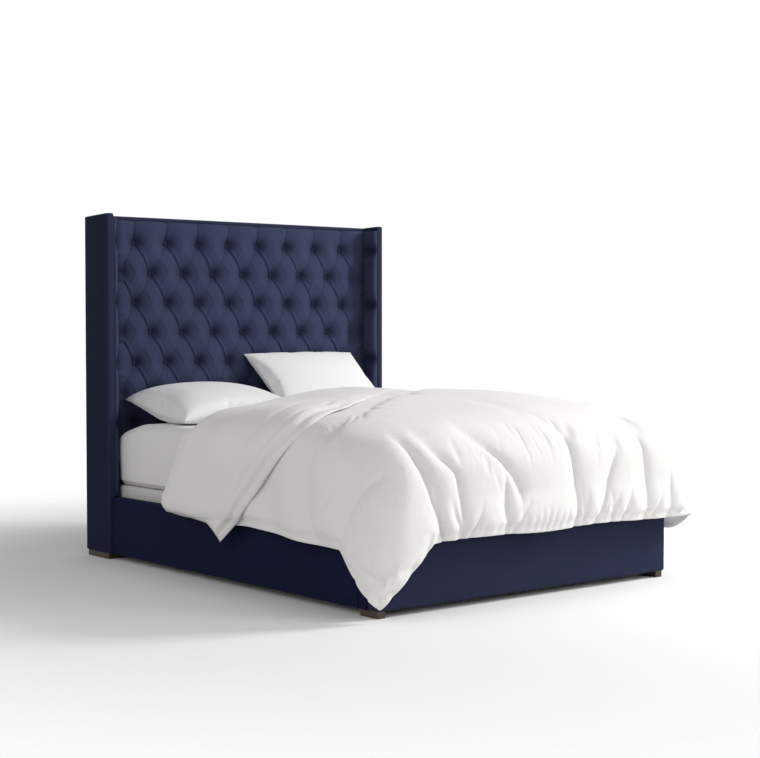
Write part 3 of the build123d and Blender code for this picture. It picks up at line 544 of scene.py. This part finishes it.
# The mattress's top edge is drawn in, so that it stays inside the sheet's rounder one
low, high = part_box("mattress")
points, quads, caps = padded_board(low, high, radius=0.036, step=0.035)
points = round_plan(points, low, high, radius=0.088)
middle, half = (np.array(low) + np.array(high)) / 2, (np.array(high) - np.array(low)) / 2
drawn_in = 0.018 * smooth(high[2] - 0.075, high[2] - 0.005, points[:, 2])
points[:, :2] -= (points[:, :2] - middle[:2]) / half[:2] * drawn_in[:, None]
bed_low, bed_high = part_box("fitted_sheet")


def slumped(points):
    """The top sinks at the two corners at the head: S-curves along, across and up, multiplied."""
    along = smooth(bed_high[1] - 0.27, bed_high[1] - 0.01, points[..., 1])
    across = smooth(0.35, 0.72, np.abs(points[..., 0]))
    points[..., 2] -= 0.045 * along * across * smooth(bed_low[2] + 0.10, bed_high[2], points[..., 2])
    return points


points = slumped(points)
mattress = tailor("mattress_ticking", points, quads, ticking, "mattress", caps)
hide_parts("mattress")

# The fitted sheet: smooth white cotton with sewn corners, pulled down over the mattress and held
# stretched by the elastic in its hem.
linen = cotton("sheet_cotton", (0.76, 0.755, 0.745), (0.80, 0.795, 0.785), weave_depth=0.4,
               wrinkle=0.12)
low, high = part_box("fitted_sheet")
half_x, half_y = (high[0] - low[0]) / 2, (high[1] - low[1]) / 2
middle_y = (high[1] + low[1]) / 2
edge, corner, side_drop, loop_points = 0.052, 0.082, 0.30, 420


def rounded_loop(half_x, half_y, radius, count):
    """Points round a rectangle with quarter-circle corners, evenly spaced along it, anticlockwise."""
    flat_x, flat_y = half_x - radius, half_y - radius
    turns = np.linspace(0, np.pi / 2, 13)
    ring = np.concatenate([np.stack([cx * flat_x + radius * np.cos(turns + start),
                                     cy * flat_y + radius * np.sin(turns + start)], -1)
                           for cx, cy, start in ((1, -1, -np.pi / 2), (1, 1, 0), (-1, 1, np.pi / 2),
                                                 (-1, -1, np.pi))])
    ring = np.concatenate([ring, ring[:1]])
    length = np.concatenate([[0], np.cumsum(np.linalg.norm(np.diff(ring, axis=0), axis=1))])
    at = np.linspace(0, length[-1], count, endpoint=False)
    return np.stack([np.interp(at, length, ring[:, 0]), np.interp(at, length, ring[:, 1])], -1)


sheet_rows = []
for inset, height in ([(0.0, z) for z in np.linspace(low[2], high[2] - edge, 16)]
                      + [(edge * (1 - np.cos(t)), high[2] - edge + edge * np.sin(t))
                         for t in np.linspace(0, np.pi / 2, 9)[1:]]
                      + [(i, high[2]) for i in np.linspace(edge, half_x, 22)[1:]]):
    radius = max(corner - inset * 0.4, 0.0005)
    inset = inset - 0.004 * np.sin(np.pi * (height - low[2]) / (high[2] - low[2]))
    inner_x, inner_y = max(half_x - inset, 0.0) + 1e-4, half_y - inset + 1e-4
    loop = rounded_loop(inner_x, inner_y, min(radius, inner_x), loop_points)
    sheet_rows.append(np.column_stack([loop[:, 0], loop[:, 1] + middle_y,
                                       np.full(loop_points, height)]))
sheet_points = np.array(sheet_rows)
drop = high[2] - sheet_points[..., 2]
ring_place = np.arctan2(sheet_points[..., 1] - middle_y, sheet_points[..., 0])
pull = 0.0016 * np.sin(60 * ring_place + 9 * drop) * smooth(0.10, 0.28, drop)
toward = sheet_points[..., :2] - np.array((0, middle_y))
toward = toward / np.linalg.norm(toward, axis=-1, keepdims=True).clip(1e-6)
sheet_points[..., :2] += toward * pull[..., None]
sheet_points = slumped(sheet_points)
rows, columns = sheet_points.shape[:2]
sheet = tailor("fitted_sheet_cotton", sheet_points.reshape(-1, 3), weave(rows, columns, True), linen,
               "mattress", [(np.arange(columns) + (rows - 1) * columns).tolist()])
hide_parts("fitted_sheet")


# The pillows: feathers in white cotton cases, blown up by a short run of cloth with air in it, so
# that the seams draw in and crease as a sewn case does. The left one lies nearly flat and sags at
# its left end, and the right one leans back against the headboard.
case = cotton("pillow_cotton", (0.78, 0.78, 0.785), (0.82, 0.82, 0.825), weave_depth=0.4,
              wrinkle=0.10)


def sewn_case(length, depth, count_x, count_y):
    """Two rectangles of cloth joined all round, parted by the product of two parabolas.

    A low power steepens the parabolas at the seams, and the two ends draw in at their middles.
    """
    x, y = np.meshgrid(np.linspace(-1, 1, count_x), np.linspace(-1, 1, count_y))
    rise = 0.080 * ((1 - x ** 2) * (1 - y ** 2)) ** 0.62
    nip_x = x * length / 2 * (1 - 0.05 * (1 - y ** 2) * x ** 2)
    nip_y = y * depth / 2
    top = np.stack([nip_x, nip_y, rise], -1)
    under = np.stack([nip_x, nip_y, -rise], -1)[:, ::-1]
    points = np.concatenate([top.reshape(-1, 3), under.reshape(-1, 3)])
    quads = np.concatenate([weave(count_y, count_x), weave(count_y, count_x) + top[..., 0].size])
    return stitch(points, quads)


def settled(points, faces, held, frames, pressure, growth, cap):
    """The shape of a cover that is blown up from inside for a number of frames.

    The cover is cut larger than its place by the growth, so that it creases. Held points stay where
    they are, and no point moves further than about the cap.
    """
    mesh = bpy.data.meshes.new("cover")
    mesh.from_pydata(points.tolist(), [], faces)
    cloth = bpy.data.objects.new("cover", mesh)
    bpy.context.scene.collection.objects.link(cloth)
    cloth.vertex_groups.new(name="held").add(np.flatnonzero(held).tolist(), 1.0, "REPLACE")
    run = cloth.modifiers.new("Cloth", "CLOTH")
    run.settings.vertex_group_mass = "held"
    run.settings.use_pressure = True
    run.settings.uniform_pressure_force = pressure
    run.settings.quality = 5
    run.settings.mass = 0.25
    run.settings.tension_stiffness = 25
    run.settings.compression_stiffness = 25
    run.settings.shear_stiffness = 12
    run.settings.bending_stiffness = 0.15
    run.settings.air_damping = 4
    run.settings.shrink_min = -growth
    run.settings.effector_weights.gravity = 0
    run.collision_settings.use_collision = False
    run.point_cache.frame_end = frames
    for number in range(1, frames + 1):
        bpy.context.scene.frame_set(number)
    blown = cloth.evaluated_get(bpy.context.evaluated_depsgraph_get()).to_mesh()
    found = np.empty(len(blown.vertices) * 3)
    blown.vertices.foreach_get("co", found)
    bpy.context.scene.frame_set(1)
    bpy.data.objects.remove(cloth)
    move = found.reshape(-1, 3) - points
    length = np.linalg.norm(move, axis=1, keepdims=True).clip(1e-9)
    return points + move / length * cap * np.tanh(length / cap)


case_points, case_quads, case_corners = sewn_case(length=0.76, depth=0.53, count_x=110, count_y=78)
case_points = settled(case_points, case_quads.tolist() + case_corners, np.zeros(len(case_points)),
                      frames=22, pressure=3.0, growth=0.02, cap=0.020)

pillow_length = 0.70
for hand, tilt, depth, loft, droop in (("left", np.radians(9), 0.545, 0.180, 0.026),
                                       ("right", np.radians(40), 0.486, 0.172, 0.0)):
    low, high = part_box(f"pillow_{hand}")
    points = case_points - (case_points.max(0) + case_points.min(0)) / 2
    points = points / (case_points.max(0) - case_points.min(0)) * np.array((pillow_length, depth, loft))
    ends_low = np.where(points[:, 0] < 0, droop, -0.35 * droop)
    to_end = np.abs(points[:, 0] / (pillow_length / 2)) ** 3
    ends_low = ends_low * to_end * smooth(0.06, 0.0, points[:, 2])
    belly = droop * np.exp(-(points[:, 1] / 0.14) ** 2) * smooth(-0.18, -0.34, points[:, 0])
    points[:, 2] -= ends_low + belly
    if hand == "right":
        points[:, 0] *= -1
    turned = np.stack([points[:, 0], points[:, 1] * np.cos(tilt) - points[:, 2] * np.sin(tilt),
                       points[:, 1] * np.sin(tilt) + points[:, 2] * np.cos(tilt)], -1)
    turned += np.array(((low[0] + high[0]) / 2 + droop / 2, high[1] - turned[:, 1].max(),
                        low[2] - turned[:, 2].min() - droop / 3))
    turned[:, 2] = np.maximum(turned[:, 2], low[2])
    faces = case_quads if hand == "left" else case_quads[:, ::-1]
    ends = case_corners if hand == "left" else [end[::-1] for end in case_corners]
    pillow = tailor(f"pillow_case_{hand}", turned, faces, case, f"pillow_{hand}", ends)
    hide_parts(f"pillow_{hand}")


# The duvet: down in a white cotton cover with a narrow flange round it. It hangs over both sides
# and the foot, and one foot corner hangs almost to the floor. Puffs of down lie between folds that
# run down from the edge of the bed, and its head end is turned back over it.
down = cotton("duvet_cotton", (0.78, 0.772, 0.755), (0.83, 0.823, 0.808), weave_depth=0.4,
              wrinkle=0.16)
# The duvet's heights, foot and half widths, then the outlines of what it lies on: the rails and the
# footboard below, and the sheet above
hem, shoulder, crown, foot_out = 0.282, 0.450, 0.812, -1.152
half_width, side_half = 0.905, 0.895
rail_half, footboard_y = 0.8335, -1.0745
bed_half, bed_foot, bed_top = 0.7690, -1.0065, 0.6535
# How far the foot leans in where the sides lean in by so much, and the foot corners' radius by height
side_lean, foot_lean = (0, 0.041, 0.077, 0.175, 0.5, 0.905), (0, 0.059, 0.105, 0.233, 0.80, 1.15)
turn_heights = 0.282, 0.44, 0.586, 0.675, 0.738, 0.80, 0.812
turn_radii = 0.070, 0.13, 0.20, 0.27, 0.42, 0.34, 0.2


def cross_section(count):
    """Inset and height from the hem to the middle of the bed, at even steps along the cloth.

    The side is nearly upright; the shoulder is a superellipse from the side to the crown.
    """
    rise = np.linspace(0, np.pi / 2, 400)
    out = side_half * np.cos(rise) ** 0.786
    inset = np.concatenate([np.interp(np.linspace(0, 1, 60)[:-1], (0, 0.12, 0.3, 1),
                                      (0.012, 0.012, 0.0, half_width - side_half)), half_width - out])
    height = np.concatenate([np.linspace(hem, shoulder, 60)[:-1],
                             shoulder + (crown - shoulder) * np.sin(rise) ** 0.4])
    length = np.concatenate([[0], np.cumsum(np.hypot(np.diff(inset), np.diff(height)))])
    at = length[-1] * np.linspace(0, 1, count) ** 1.12
    return np.interp(at, length, inset), np.interp(at, length, height)


def crease_y(x, z):
    """Where the duvet is folded back: further up the bed in the middle and low on the sides."""
    top = np.interp(x, (-0.85, -0.6, -0.3, 0, 0.4, 0.85), (0.140, 0.225, 0.310, 0.375, 0.384, 0.339))
    side = np.interp(z, (0.20, 0.363, 0.692), (0.340, 0.317, 0.140))
    return np.where((z < 0.692) & (x < 0), np.maximum(side, top), top)


def free_edge(x, z):
    """Where the turned-back end stops: from its hanging corner up the left side, then across the top."""
    side = np.interp(z, (0.198, 0.286, 0.326, 0.485, 0.595, 0.664, 0.70),
                     (-0.090, -0.215, -0.265, -0.425, -0.540, -0.61, -0.64))
    top = np.interp(x, (-0.85, -0.62, -0.30, 0.0, 0.30, 0.60, 0.85),
                    (-0.64, -0.60, -0.366, -0.120, 0.110, 0.21, 0.235))
    return np.where((z < 0.70) & (x < 0), side, top)


def outline(half, foot, turn, head_left, head_right, shares):
    """A row of points: down the left side, round the foot corners and back up the right side."""
    left, turned, front, _, right = shares
    quarter = np.linspace(0, np.pi / 2, turned + 1)[1:]
    x = np.concatenate([np.full(left, -half), -half + turn * (1 - np.cos(quarter)),
                        np.linspace(-half + turn, half - turn, front + 1)[1:],
                        half - turn * (1 - np.sin(quarter)), np.full(right, half)])
    y = np.concatenate([np.linspace(head_left, foot + turn, left), foot + turn * (1 - np.sin(quarter)),
                        np.full(front, foot), foot + turn * (1 - np.cos(quarter)),
                        np.linspace(foot + turn, head_right, right + 1)[1:]])
    return x, y


shares = (130, 64, 240, 64, 130)
columns = sum(shares)
rows = 124
inset, height = cross_section(rows)
outer = np.empty((rows, columns, 3))
inner = np.empty((rows, columns, 3))
for row, (d, z) in enumerate(zip(inset, height)):
    half = max(half_width - d, 0)
    foot = foot_out + np.interp(d, side_lean, foot_lean)
    turn = min(np.interp(z, turn_heights, turn_radii), half)
    head = crease_y(np.array(-half), np.array(z)) - 0.03, crease_y(np.array(half), np.array(z)) - 0.03
    x, y = outline(half, foot, turn, *head, shares)
    outer[row] = np.stack([x, y, np.full(columns, z)], -1)
    lower = float(smooth(0.33, 0.57, z))
    half_in = rail_half + (bed_half - rail_half) * lower
    foot_in = footboard_y + (bed_foot - footboard_y) * lower
    closing = np.clip((d - 0.12) / (half_width - 0.12), 0, 1)
    x, y = outline(half_in * (1 - closing), foot_in + closing * 1.0, min(0.05, half_in * (1 - closing)),
                   *head, shares)
    inner[row] = np.stack([x, y, np.full(columns, min(z, bed_top))], -1)

# The hem's height round the bed: it waves a little, hangs in a cone at the left foot corner, with
# its tip 42 mm above the floor, and dips on the right side near the foot
hem_x, hem_y = outer[0, :, 0], outer[0, :, 1]
tip_x, tip_y, tip_height = -0.862, -1.132, 0.042
away = np.hypot(hem_x - tip_x, hem_y - tip_y)
reach = np.where(hem_y > -1.09, 0.222, 0.258)
dip = np.clip(1 - away / reach, 0, 1)
hem_line = hem + 0.004 * np.sin(9 * hem_x + 7 * hem_y)
on_left = np.arange(columns) < shares[0] + shares[1] // 2
hem_line = hem_line - 0.022 * smooth(-0.2, -0.9, hem_y) * on_left
hem_line = hem_line * (1 - dip) + dip * tip_height
on_right = hem_x > 0.86
hem_line = hem_line - (0.078 * on_right * smooth(-1.12, -1.00, hem_y)
                       * smooth(-0.70, -0.90, hem_y))
for skin in (outer, inner):
    low_part = skin[..., 2] < shoulder
    share = (skin[..., 2] - hem) / (shoulder - hem)
    skin[..., 2] = np.where(low_part, hem_line[None] + share * (shoulder - hem_line[None]), skin[..., 2])

# Folds down the foot: each a line of places across the bed and heights, its depth and its width
foot_folds = (
    ((-0.52, -0.56, -0.615, -0.68, -0.72), (0.262, 0.32, 0.453, 0.611, 0.69), 0.022, 0.022),
    ((-0.444, -0.469, -0.494, -0.579, -0.62), (0.30, 0.443, 0.546, 0.633, 0.68), 0.015, 0.014),
    ((-0.57, -0.579, -0.60, -0.645, -0.67), (0.33, 0.423, 0.50, 0.573, 0.62), 0.010, 0.012),
    ((-0.455, -0.469, -0.49, -0.506, -0.52), (0.29, 0.332, 0.37, 0.408, 0.44), 0.010, 0.010),
    ((-0.405, -0.395, -0.385, -0.375, -0.37), (0.29, 0.32, 0.35, 0.38, 0.40), 0.008, 0.009),
    ((-0.150, -0.190, -0.250, -0.319, -0.40), (0.46, 0.52, 0.58, 0.639, 0.70), 0.019, 0.018),
    ((-0.205, -0.218, -0.230, -0.228, -0.235), (0.29, 0.35, 0.40, 0.45, 0.53), 0.016, 0.014),
    ((-0.17, -0.155, -0.14, -0.125, -0.11), (0.29, 0.32, 0.35, 0.38, 0.40), 0.008, 0.010),
    ((0.192, 0.180, 0.163, 0.141, 0.064), (0.29, 0.40, 0.498, 0.656, 0.728), 0.019, 0.018),
    ((0.235, 0.225, 0.215, 0.205, 0.20), (0.29, 0.33, 0.37, 0.41, 0.45), 0.008, 0.010),
    ((0.306, 0.335, 0.363, 0.40, 0.42), (0.29, 0.367, 0.466, 0.56, 0.62), 0.014, 0.014),
    ((0.408, 0.400, 0.390, 0.378, 0.37), (0.29, 0.32, 0.36, 0.404, 0.43), 0.009, 0.010),
    ((0.618, 0.610, 0.601, 0.585, 0.57), (0.29, 0.38, 0.472, 0.575, 0.65), 0.016, 0.016),
    ((0.66, 0.665, 0.672, 0.68, 0.685), (0.29, 0.32, 0.35, 0.38, 0.40), 0.007, 0.009),
    ((0.765, 0.760, 0.757, 0.75, 0.745), (0.29, 0.34, 0.379, 0.42, 0.47), 0.012, 0.012),
    ((0.47, 0.475, 0.48, 0.485, 0.49), (0.29, 0.32, 0.35, 0.38, 0.40), 0.007, 0.010),
)


# Folds down the left side and round the foot corner: places along the bed, as above
side_folds = (
    ((-0.952, -1.00, -1.054, -1.105, -1.152), (0.334, 0.41, 0.486, 0.55, 0.609), 0.012, 0.013),
    ((-1.041, -1.075, -1.107, -1.135, -1.161), (0.455, 0.50, 0.542, 0.58, 0.614), 0.009, 0.010),
    ((-0.767, -0.796, -0.826, -0.866, -0.907), (0.360, 0.384, 0.408, 0.446, 0.485), 0.009, 0.010),
    ((-0.940, -0.952, -0.963, -0.975, -0.986), (0.314, 0.353, 0.392, 0.432, 0.471), 0.008, 0.010),
    ((-1.02, -1.03, -1.04, -1.05, -1.06), (0.16, 0.20, 0.24, 0.28, 0.32), 0.007, 0.010),
)


def outward(skin):
    """The direction square to a grid of points, from its slopes along the rows and columns."""
    normal = np.cross(np.gradient(skin, axis=1), np.gradient(skin, axis=0))
    return normal / np.linalg.norm(normal, axis=-1, keepdims=True).clip(1e-9)


facing = outward(outer)
x, y, z = outer[..., 0], outer[..., 1], outer[..., 2]
at_foot = smooth(0.15, 0.6, -facing[..., 1]) * smooth(-0.86, -0.74, x)
swell = np.zeros_like(x)
nearest = np.full_like(x, 9.0)
at_left = smooth(0.3, 0.8, -facing[..., 0])
for folds, along_edge, faced in ((foot_folds, x, at_foot), (side_folds, y, at_left)):
    for places, heights_at, depth, width in folds:
        line = np.interp(z, heights_at, places)
        window = smooth(heights_at[-1] + 0.07, heights_at[-1] - 0.10, z)
        window = window * smooth(heights_at[0] - 0.09, heights_at[0], z)
        off = np.abs(along_edge - line)
        swell -= depth * np.exp(-off / width) * window * faced
        if folds is foot_folds:
            nearest = np.minimum(nearest, off + (1 - window) * 0.15)
swell += 0.014 * (1 - np.exp(-nearest / 0.06)) * at_foot * smooth(0.74, 0.60, z)
pucker = np.abs(np.sin(x * 61 + 2.3 * np.sin(x * 13))) ** 0.6
near_hem = smooth(0.085, 0.015, z - hem_line[None])
pucker_depth = 0.004 + 0.005 * smooth(0.02, 0.2, dip)[None]
swell -= pucker_depth * (1 - pucker) * near_hem * smooth(0.2, 0.6, -facing[..., 1])
swell += at_left * 0.010 * np.sin(y * 11 + z * 7) * smooth(0.70, 0.5, z)
swell += at_left * 0.006 * np.sin(y * 23 - z * 12 + 1.0) * smooth(0.62, 0.35, z)
at_right = smooth(0.3, 0.8, facing[..., 0])
swell += (at_right * 0.012 * np.sin(y * 13 + z * 5 + 0.7) * smooth(0.72, 0.45, z)
          * smooth(0.0, 0.12, free_edge(x, z) - y))


def top_swell(x, y, up):
    """Slow swells of the filling: one sine across times one along, where the cloth faces up.

    They die out at the middle line, where the two halves of the top meet.
    """
    waves = np.sin(x * 7 + 1.1) * np.sin(y * 6.3 + 0.4)
    return 0.006 * waves * smooth(0.6, 0.9, up) * smooth(0, 0.1, np.abs(x))


swell += top_swell(x, y, facing[..., 2])
# The hem stands out in a point at the right foot corner
corner_away = np.hypot(x - 0.862, y + 1.075)
lift_tip = np.exp(-(corner_away / 0.07) ** 2) * smooth(0.36, 0.27, z)
# Under the turned-back end the swells fade out and the cover sinks a little
covered = smooth(0.0, 0.06, y - free_edge(x, z))
swell = swell * (1 - covered) - 0.006 * covered
outer = outer + facing * swell[..., None]


def head_droop(x, y, z):
    """How far the top sinks towards the head, where less down lies under the turned-back end."""
    return (0.002 + 0.046 * smooth(0.15, -0.55, x)) * smooth(-0.40, 0.32, y) * smooth(0.60, 0.76, z)


outer[..., 2] -= head_droop(x, y, z)
outer[..., 0] += 0.045 * lift_tip
outer[..., 1] -= 0.030 * lift_tip

# The flange: near the hem the two skins lie flat on each other, and the filling starts above it
flange = smooth(0.020, 0.085, outer[..., 2] - hem_line[None])
flat_out = facing.copy()
flat_out[..., 2] = 0
flat_out /= np.linalg.norm(flat_out, axis=-1, keepdims=True).clip(0.05)
low_zone = (height < 0.40)[:, None, None]
seam = np.exp(-((outer[..., 2] - hem_line[None] - 0.026) / 0.006) ** 2)
outer = outer - flat_out * (0.002 * seam + 0.0015 * (1 - flange))[..., None] * low_zone
thin = outer - flat_out * 0.004
inner = np.where(low_zone, thin + (inner - thin) * flange[..., None], inner)

# The head end tapers onto the underside, which closes it
head_share = smooth(0, 7, np.minimum(np.arange(columns), columns - 1 - np.arange(columns)))[None, :, None]
outer = inner + (outer - inner) * head_share
inner[..., 2] = np.minimum(inner[..., 2], outer[..., 2] - 0.002 * head_share[..., 0])
few = np.unique(np.concatenate([np.arange(0, 40, 2), np.arange(40, rows, 6), [rows - 1]]))
skin = np.concatenate([inner[few][::-1], outer])
points, quads, caps = stitch(skin.reshape(-1, 3), weave(len(skin), columns))
_, first = np.unique(np.round(skin.reshape(-1, 3), 6), axis=0, return_index=True)
edge_y = np.interp(points[:, 0], (-0.95, -0.62, -0.30, 0.0, 0.30, 0.60, 0.85),
                   (-0.75, -0.73, -0.48, -0.24, -0.01, 0.09, 0.12))
held = (first < len(few) * columns + 2 * columns) | (points[:, 1] > edge_y)
points = settled(points, quads.tolist() + caps, held,
                 frames=18, pressure=4.0, growth=0.030, cap=0.015)
duvet = tailor("duvet_cover", points, quads, down, "duvet", caps)
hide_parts("duvet")

# The turned-back end: its fold lies across the bed, its free edge runs from the left side up to the
# head on the right, and the duvet's corner hangs in a point at the left.
fold_inset, fold_height = cross_section(400)
fold_x = np.concatenate([-(half_width - fold_inset), (half_width - fold_inset)[::-1][1:]])
fold_z = np.concatenate([fold_height, fold_height[::-1][1:]])
fold_length = np.concatenate([[0], np.cumsum(np.hypot(np.diff(fold_x), np.diff(fold_z)))])


def over_bed(along):
    """Place and outward direction at a length along the cross-section, which goes straight on below it."""
    below = np.clip(-along, 0, None)
    x = np.interp(along, fold_length, fold_x)
    z = np.interp(along, fold_length, fold_z) - below
    step = 0.004
    slope_x = np.interp(along + step, fold_length, fold_x) - np.interp(along - step, fold_length, fold_x)
    slope_z = np.interp(along + step, fold_length, fold_z) - np.interp(along - step, fold_length, fold_z)
    flat = np.hypot(slope_x, slope_z)
    out_x = np.where(flat > 1e-6, -slope_z / flat.clip(1e-6), -1)
    out_z = np.where(flat > 1e-6, slope_x / flat.clip(1e-6), 0)
    return x, z, out_x, out_z


across, back_share = np.meshgrid(np.linspace(0, 1, 300), np.linspace(0, 1, 90), indexing="ij")
start = -np.interp(back_share, (0, 0.3, 0.62, 1), (-0.008, -0.002, 0.012, 0.084))
end = fold_length[-1] - 0.01
along = start + (end - start) * across
x, z, out_x, out_z = over_bed(along)
crease = crease_y(x, z) + 0.012
free = free_edge(x, z)
y = crease + (free - crease) * back_share
foot_inset = np.interp(y - foot_out, foot_lean, side_lean)
fall = np.clip(z - np.interp(foot_inset, inset, height), 0, None) * smooth(0.3, 0.8, out_z)
edge_away = (1 - back_share) * np.abs(free - crease)
fall = fall + head_droop(x, y, z)
on_side = smooth(-0.45, -0.80, x)
bulk = (0.010 + 0.020 * on_side) * (1 - np.exp(-edge_away / (0.20 - 0.15 * on_side))) + 0.003 * on_side
ripple = (0.008 * np.exp(-((edge_away - 0.080) / 0.022) ** 2)
          - 0.013 * np.exp(-((edge_away - 0.045) / 0.012) ** 2)
          - 0.013 * np.exp(-((edge_away - 0.128) / 0.016) ** 2) * smooth(0.36, 0.44, z)
          - 0.007 * np.exp(-((edge_away - 0.27) / 0.020) ** 2) * smooth(0.44, 0.50, z)
          + 0.004 * np.sin(y * 21 + across * 30)) * on_side
roll_turn = smooth(0.10, 0.0, (crease - y))
hem_taper = np.sqrt(smooth(0, 0.016, across) * smooth(1, 0.984, across))
lift = 0.001 + (bulk * (1 - 0.55 * roll_turn ** 2) + ripple * (1 - roll_turn)) * hem_taper
lift = lift + top_swell(x, y, out_z) * (1 - roll_turn)
lift = lift - 0.005 * np.exp(-edge_away / 0.025) * (1 - on_side) * hem_taper
upper = np.stack([x + out_x * lift, y, z + out_z * lift - fall], -1)
under_lift = np.minimum(0.001, lift - 0.0012 * hem_taper)
lower = np.stack([x + out_x * under_lift, y, z + out_z * under_lift - fall], -1)
round_rows = []
for turn in np.linspace(0, np.pi / 2, 6)[1:]:
    reach = 0.026 * np.sin(turn) * hem_taper[:, 0]
    sink = (lift[:, 0] - 0.001 + 0.030 * hem_taper[:, 0]) * (1 - np.cos(turn))
    round_rows.append(np.stack([x[:, 0] + out_x[:, 0] * (lift[:, 0] - sink), y[:, 0] + reach,
                                z[:, 0] + out_z[:, 0] * (lift[:, 0] - sink) - fall[:, 0]], -1))
shell = np.concatenate([upper[:, ::-1], np.stack(round_rows, 1), lower], axis=1)
points, quads, caps = stitch(shell.reshape(-1, 3), weave(*shell.shape[:2], True))
turned_back = tailor("duvet_turned_back", points, quads, down, "duvet", caps)


# The room: a pale floor that fades into white, a soft key lamp from the right, a broader one from
# the foot, a weak one from the left, and white light from all round.
floor_finish = Finish("floor_white", Base_Color=(0.92, 0.92, 0.92), Roughness=0.9)
floor_half, floor_level = 9, -0.0005
floor_mesh = bpy.data.meshes.new("floor")
floor_mesh.from_pydata([(x_side * floor_half, y_side * floor_half, floor_level)
                        for x_side, y_side in ((-1, -1), (1, -1), (1, 1), (-1, 1))], [], [(0, 1, 2, 3)])
floor_mesh.materials.append(floor_finish.material)
floor = bpy.data.objects.new("floor", floor_mesh)
bpy.context.scene.collection.objects.link(floor)
distance = floor_finish.node("ShaderNodeVectorMath", {"operation": "LENGTH"}, 1, i0=floor_finish.place)
fade = floor_finish.node("ShaderNodeMapRange", {"interpolation_type": "SMOOTHSTEP"}, Value=distance,
                         From_Min=1.6, From_Max=4.0)
clear = floor_finish.node("ShaderNodeBsdfTransparent")
solid = Wire(floor_finish.tree, floor_finish.shader.outputs[0])
mixed = floor_finish.node("ShaderNodeMixShader", Fac=fade, i1=solid, i2=clear)
floor_finish.tree.links.new(mixed.socket, floor_finish.tree.nodes["Material Output"].inputs[0])

world = bpy.data.worlds.new("studio")
bpy.context.scene.world = world
world.use_nodes = True
tree = world.node_tree
seen = tree.nodes.new("ShaderNodeLightPath")
sky = tree.nodes["Background"]
camera_ray = Wire(tree, seen.outputs["Is Camera Ray"])
shine = Wire(tree, seen.outputs["Is Glossy Ray"])
through = Wire(tree, seen.outputs["Is Transmission Ray"])
white = camera_ray.sum("MAXIMUM", camera_ray, camera_ray.sum("MAXIMUM", shine, through))
feed(tree, sky.inputs["Color"], (1.0, 1.0, 1.0))
feed(tree, sky.inputs["Strength"], white * 0.62 + 0.38)


def lamp(name, place, size, power, colour):
    """A square soft lamp that faces the middle of the bed."""
    light = bpy.data.lights.new(name, "AREA")
    light.size = size
    light.energy = power
    light.color = colour
    holder = bpy.data.objects.new(name, light)
    holder.location = place
    aim = np.array((0, 0, 0.6)) - np.array(place)
    yaw = np.arctan2(aim[1], aim[0]) - np.pi / 2
    pitch = np.arctan2(aim[2], np.hypot(aim[0], aim[1])) + np.pi / 2
    holder.rotation_euler = (pitch, 0, yaw)
    bpy.context.scene.collection.objects.link(holder)


lamp("key", (5.0, -2.9, 3.8), size=1.5, power=330, colour=(1.0, 0.99, 0.98))
lamp("front", (2.9, -6.0, 2.6), size=2.5, power=125, colour=(1.0, 0.99, 0.98))
lamp("fill", (-5.5, -1.5, 2.6), size=3.0, power=60, colour=(1.0, 0.985, 0.97))

# The camera stands off the left foot corner a little above the pillows, and is aimed slightly down.
# Its focal length and the row its axis meets are in pixels of the photograph.
photo_width, photo_height, focal_length, axis_row = 760, 758, 1574.975, 382.95
camera = bpy.data.cameras.new("camera")
camera.sensor_width = 36
camera.lens = focal_length / photo_width * camera.sensor_width
camera.shift_y = (axis_row - photo_height / 2) / photo_width
camera.clip_end = 60
stand = bpy.data.objects.new("camera", camera)
stand.location = (-4.5671, -5.6797, 1.1150)
stand.rotation_euler = (np.radians(90 - 2.0685), 0, -np.radians(39.1467))
bpy.context.scene.collection.objects.link(stand)
bpy.context.scene.camera = stand
bpy.context.scene.view_settings.view_transform = "Standard"
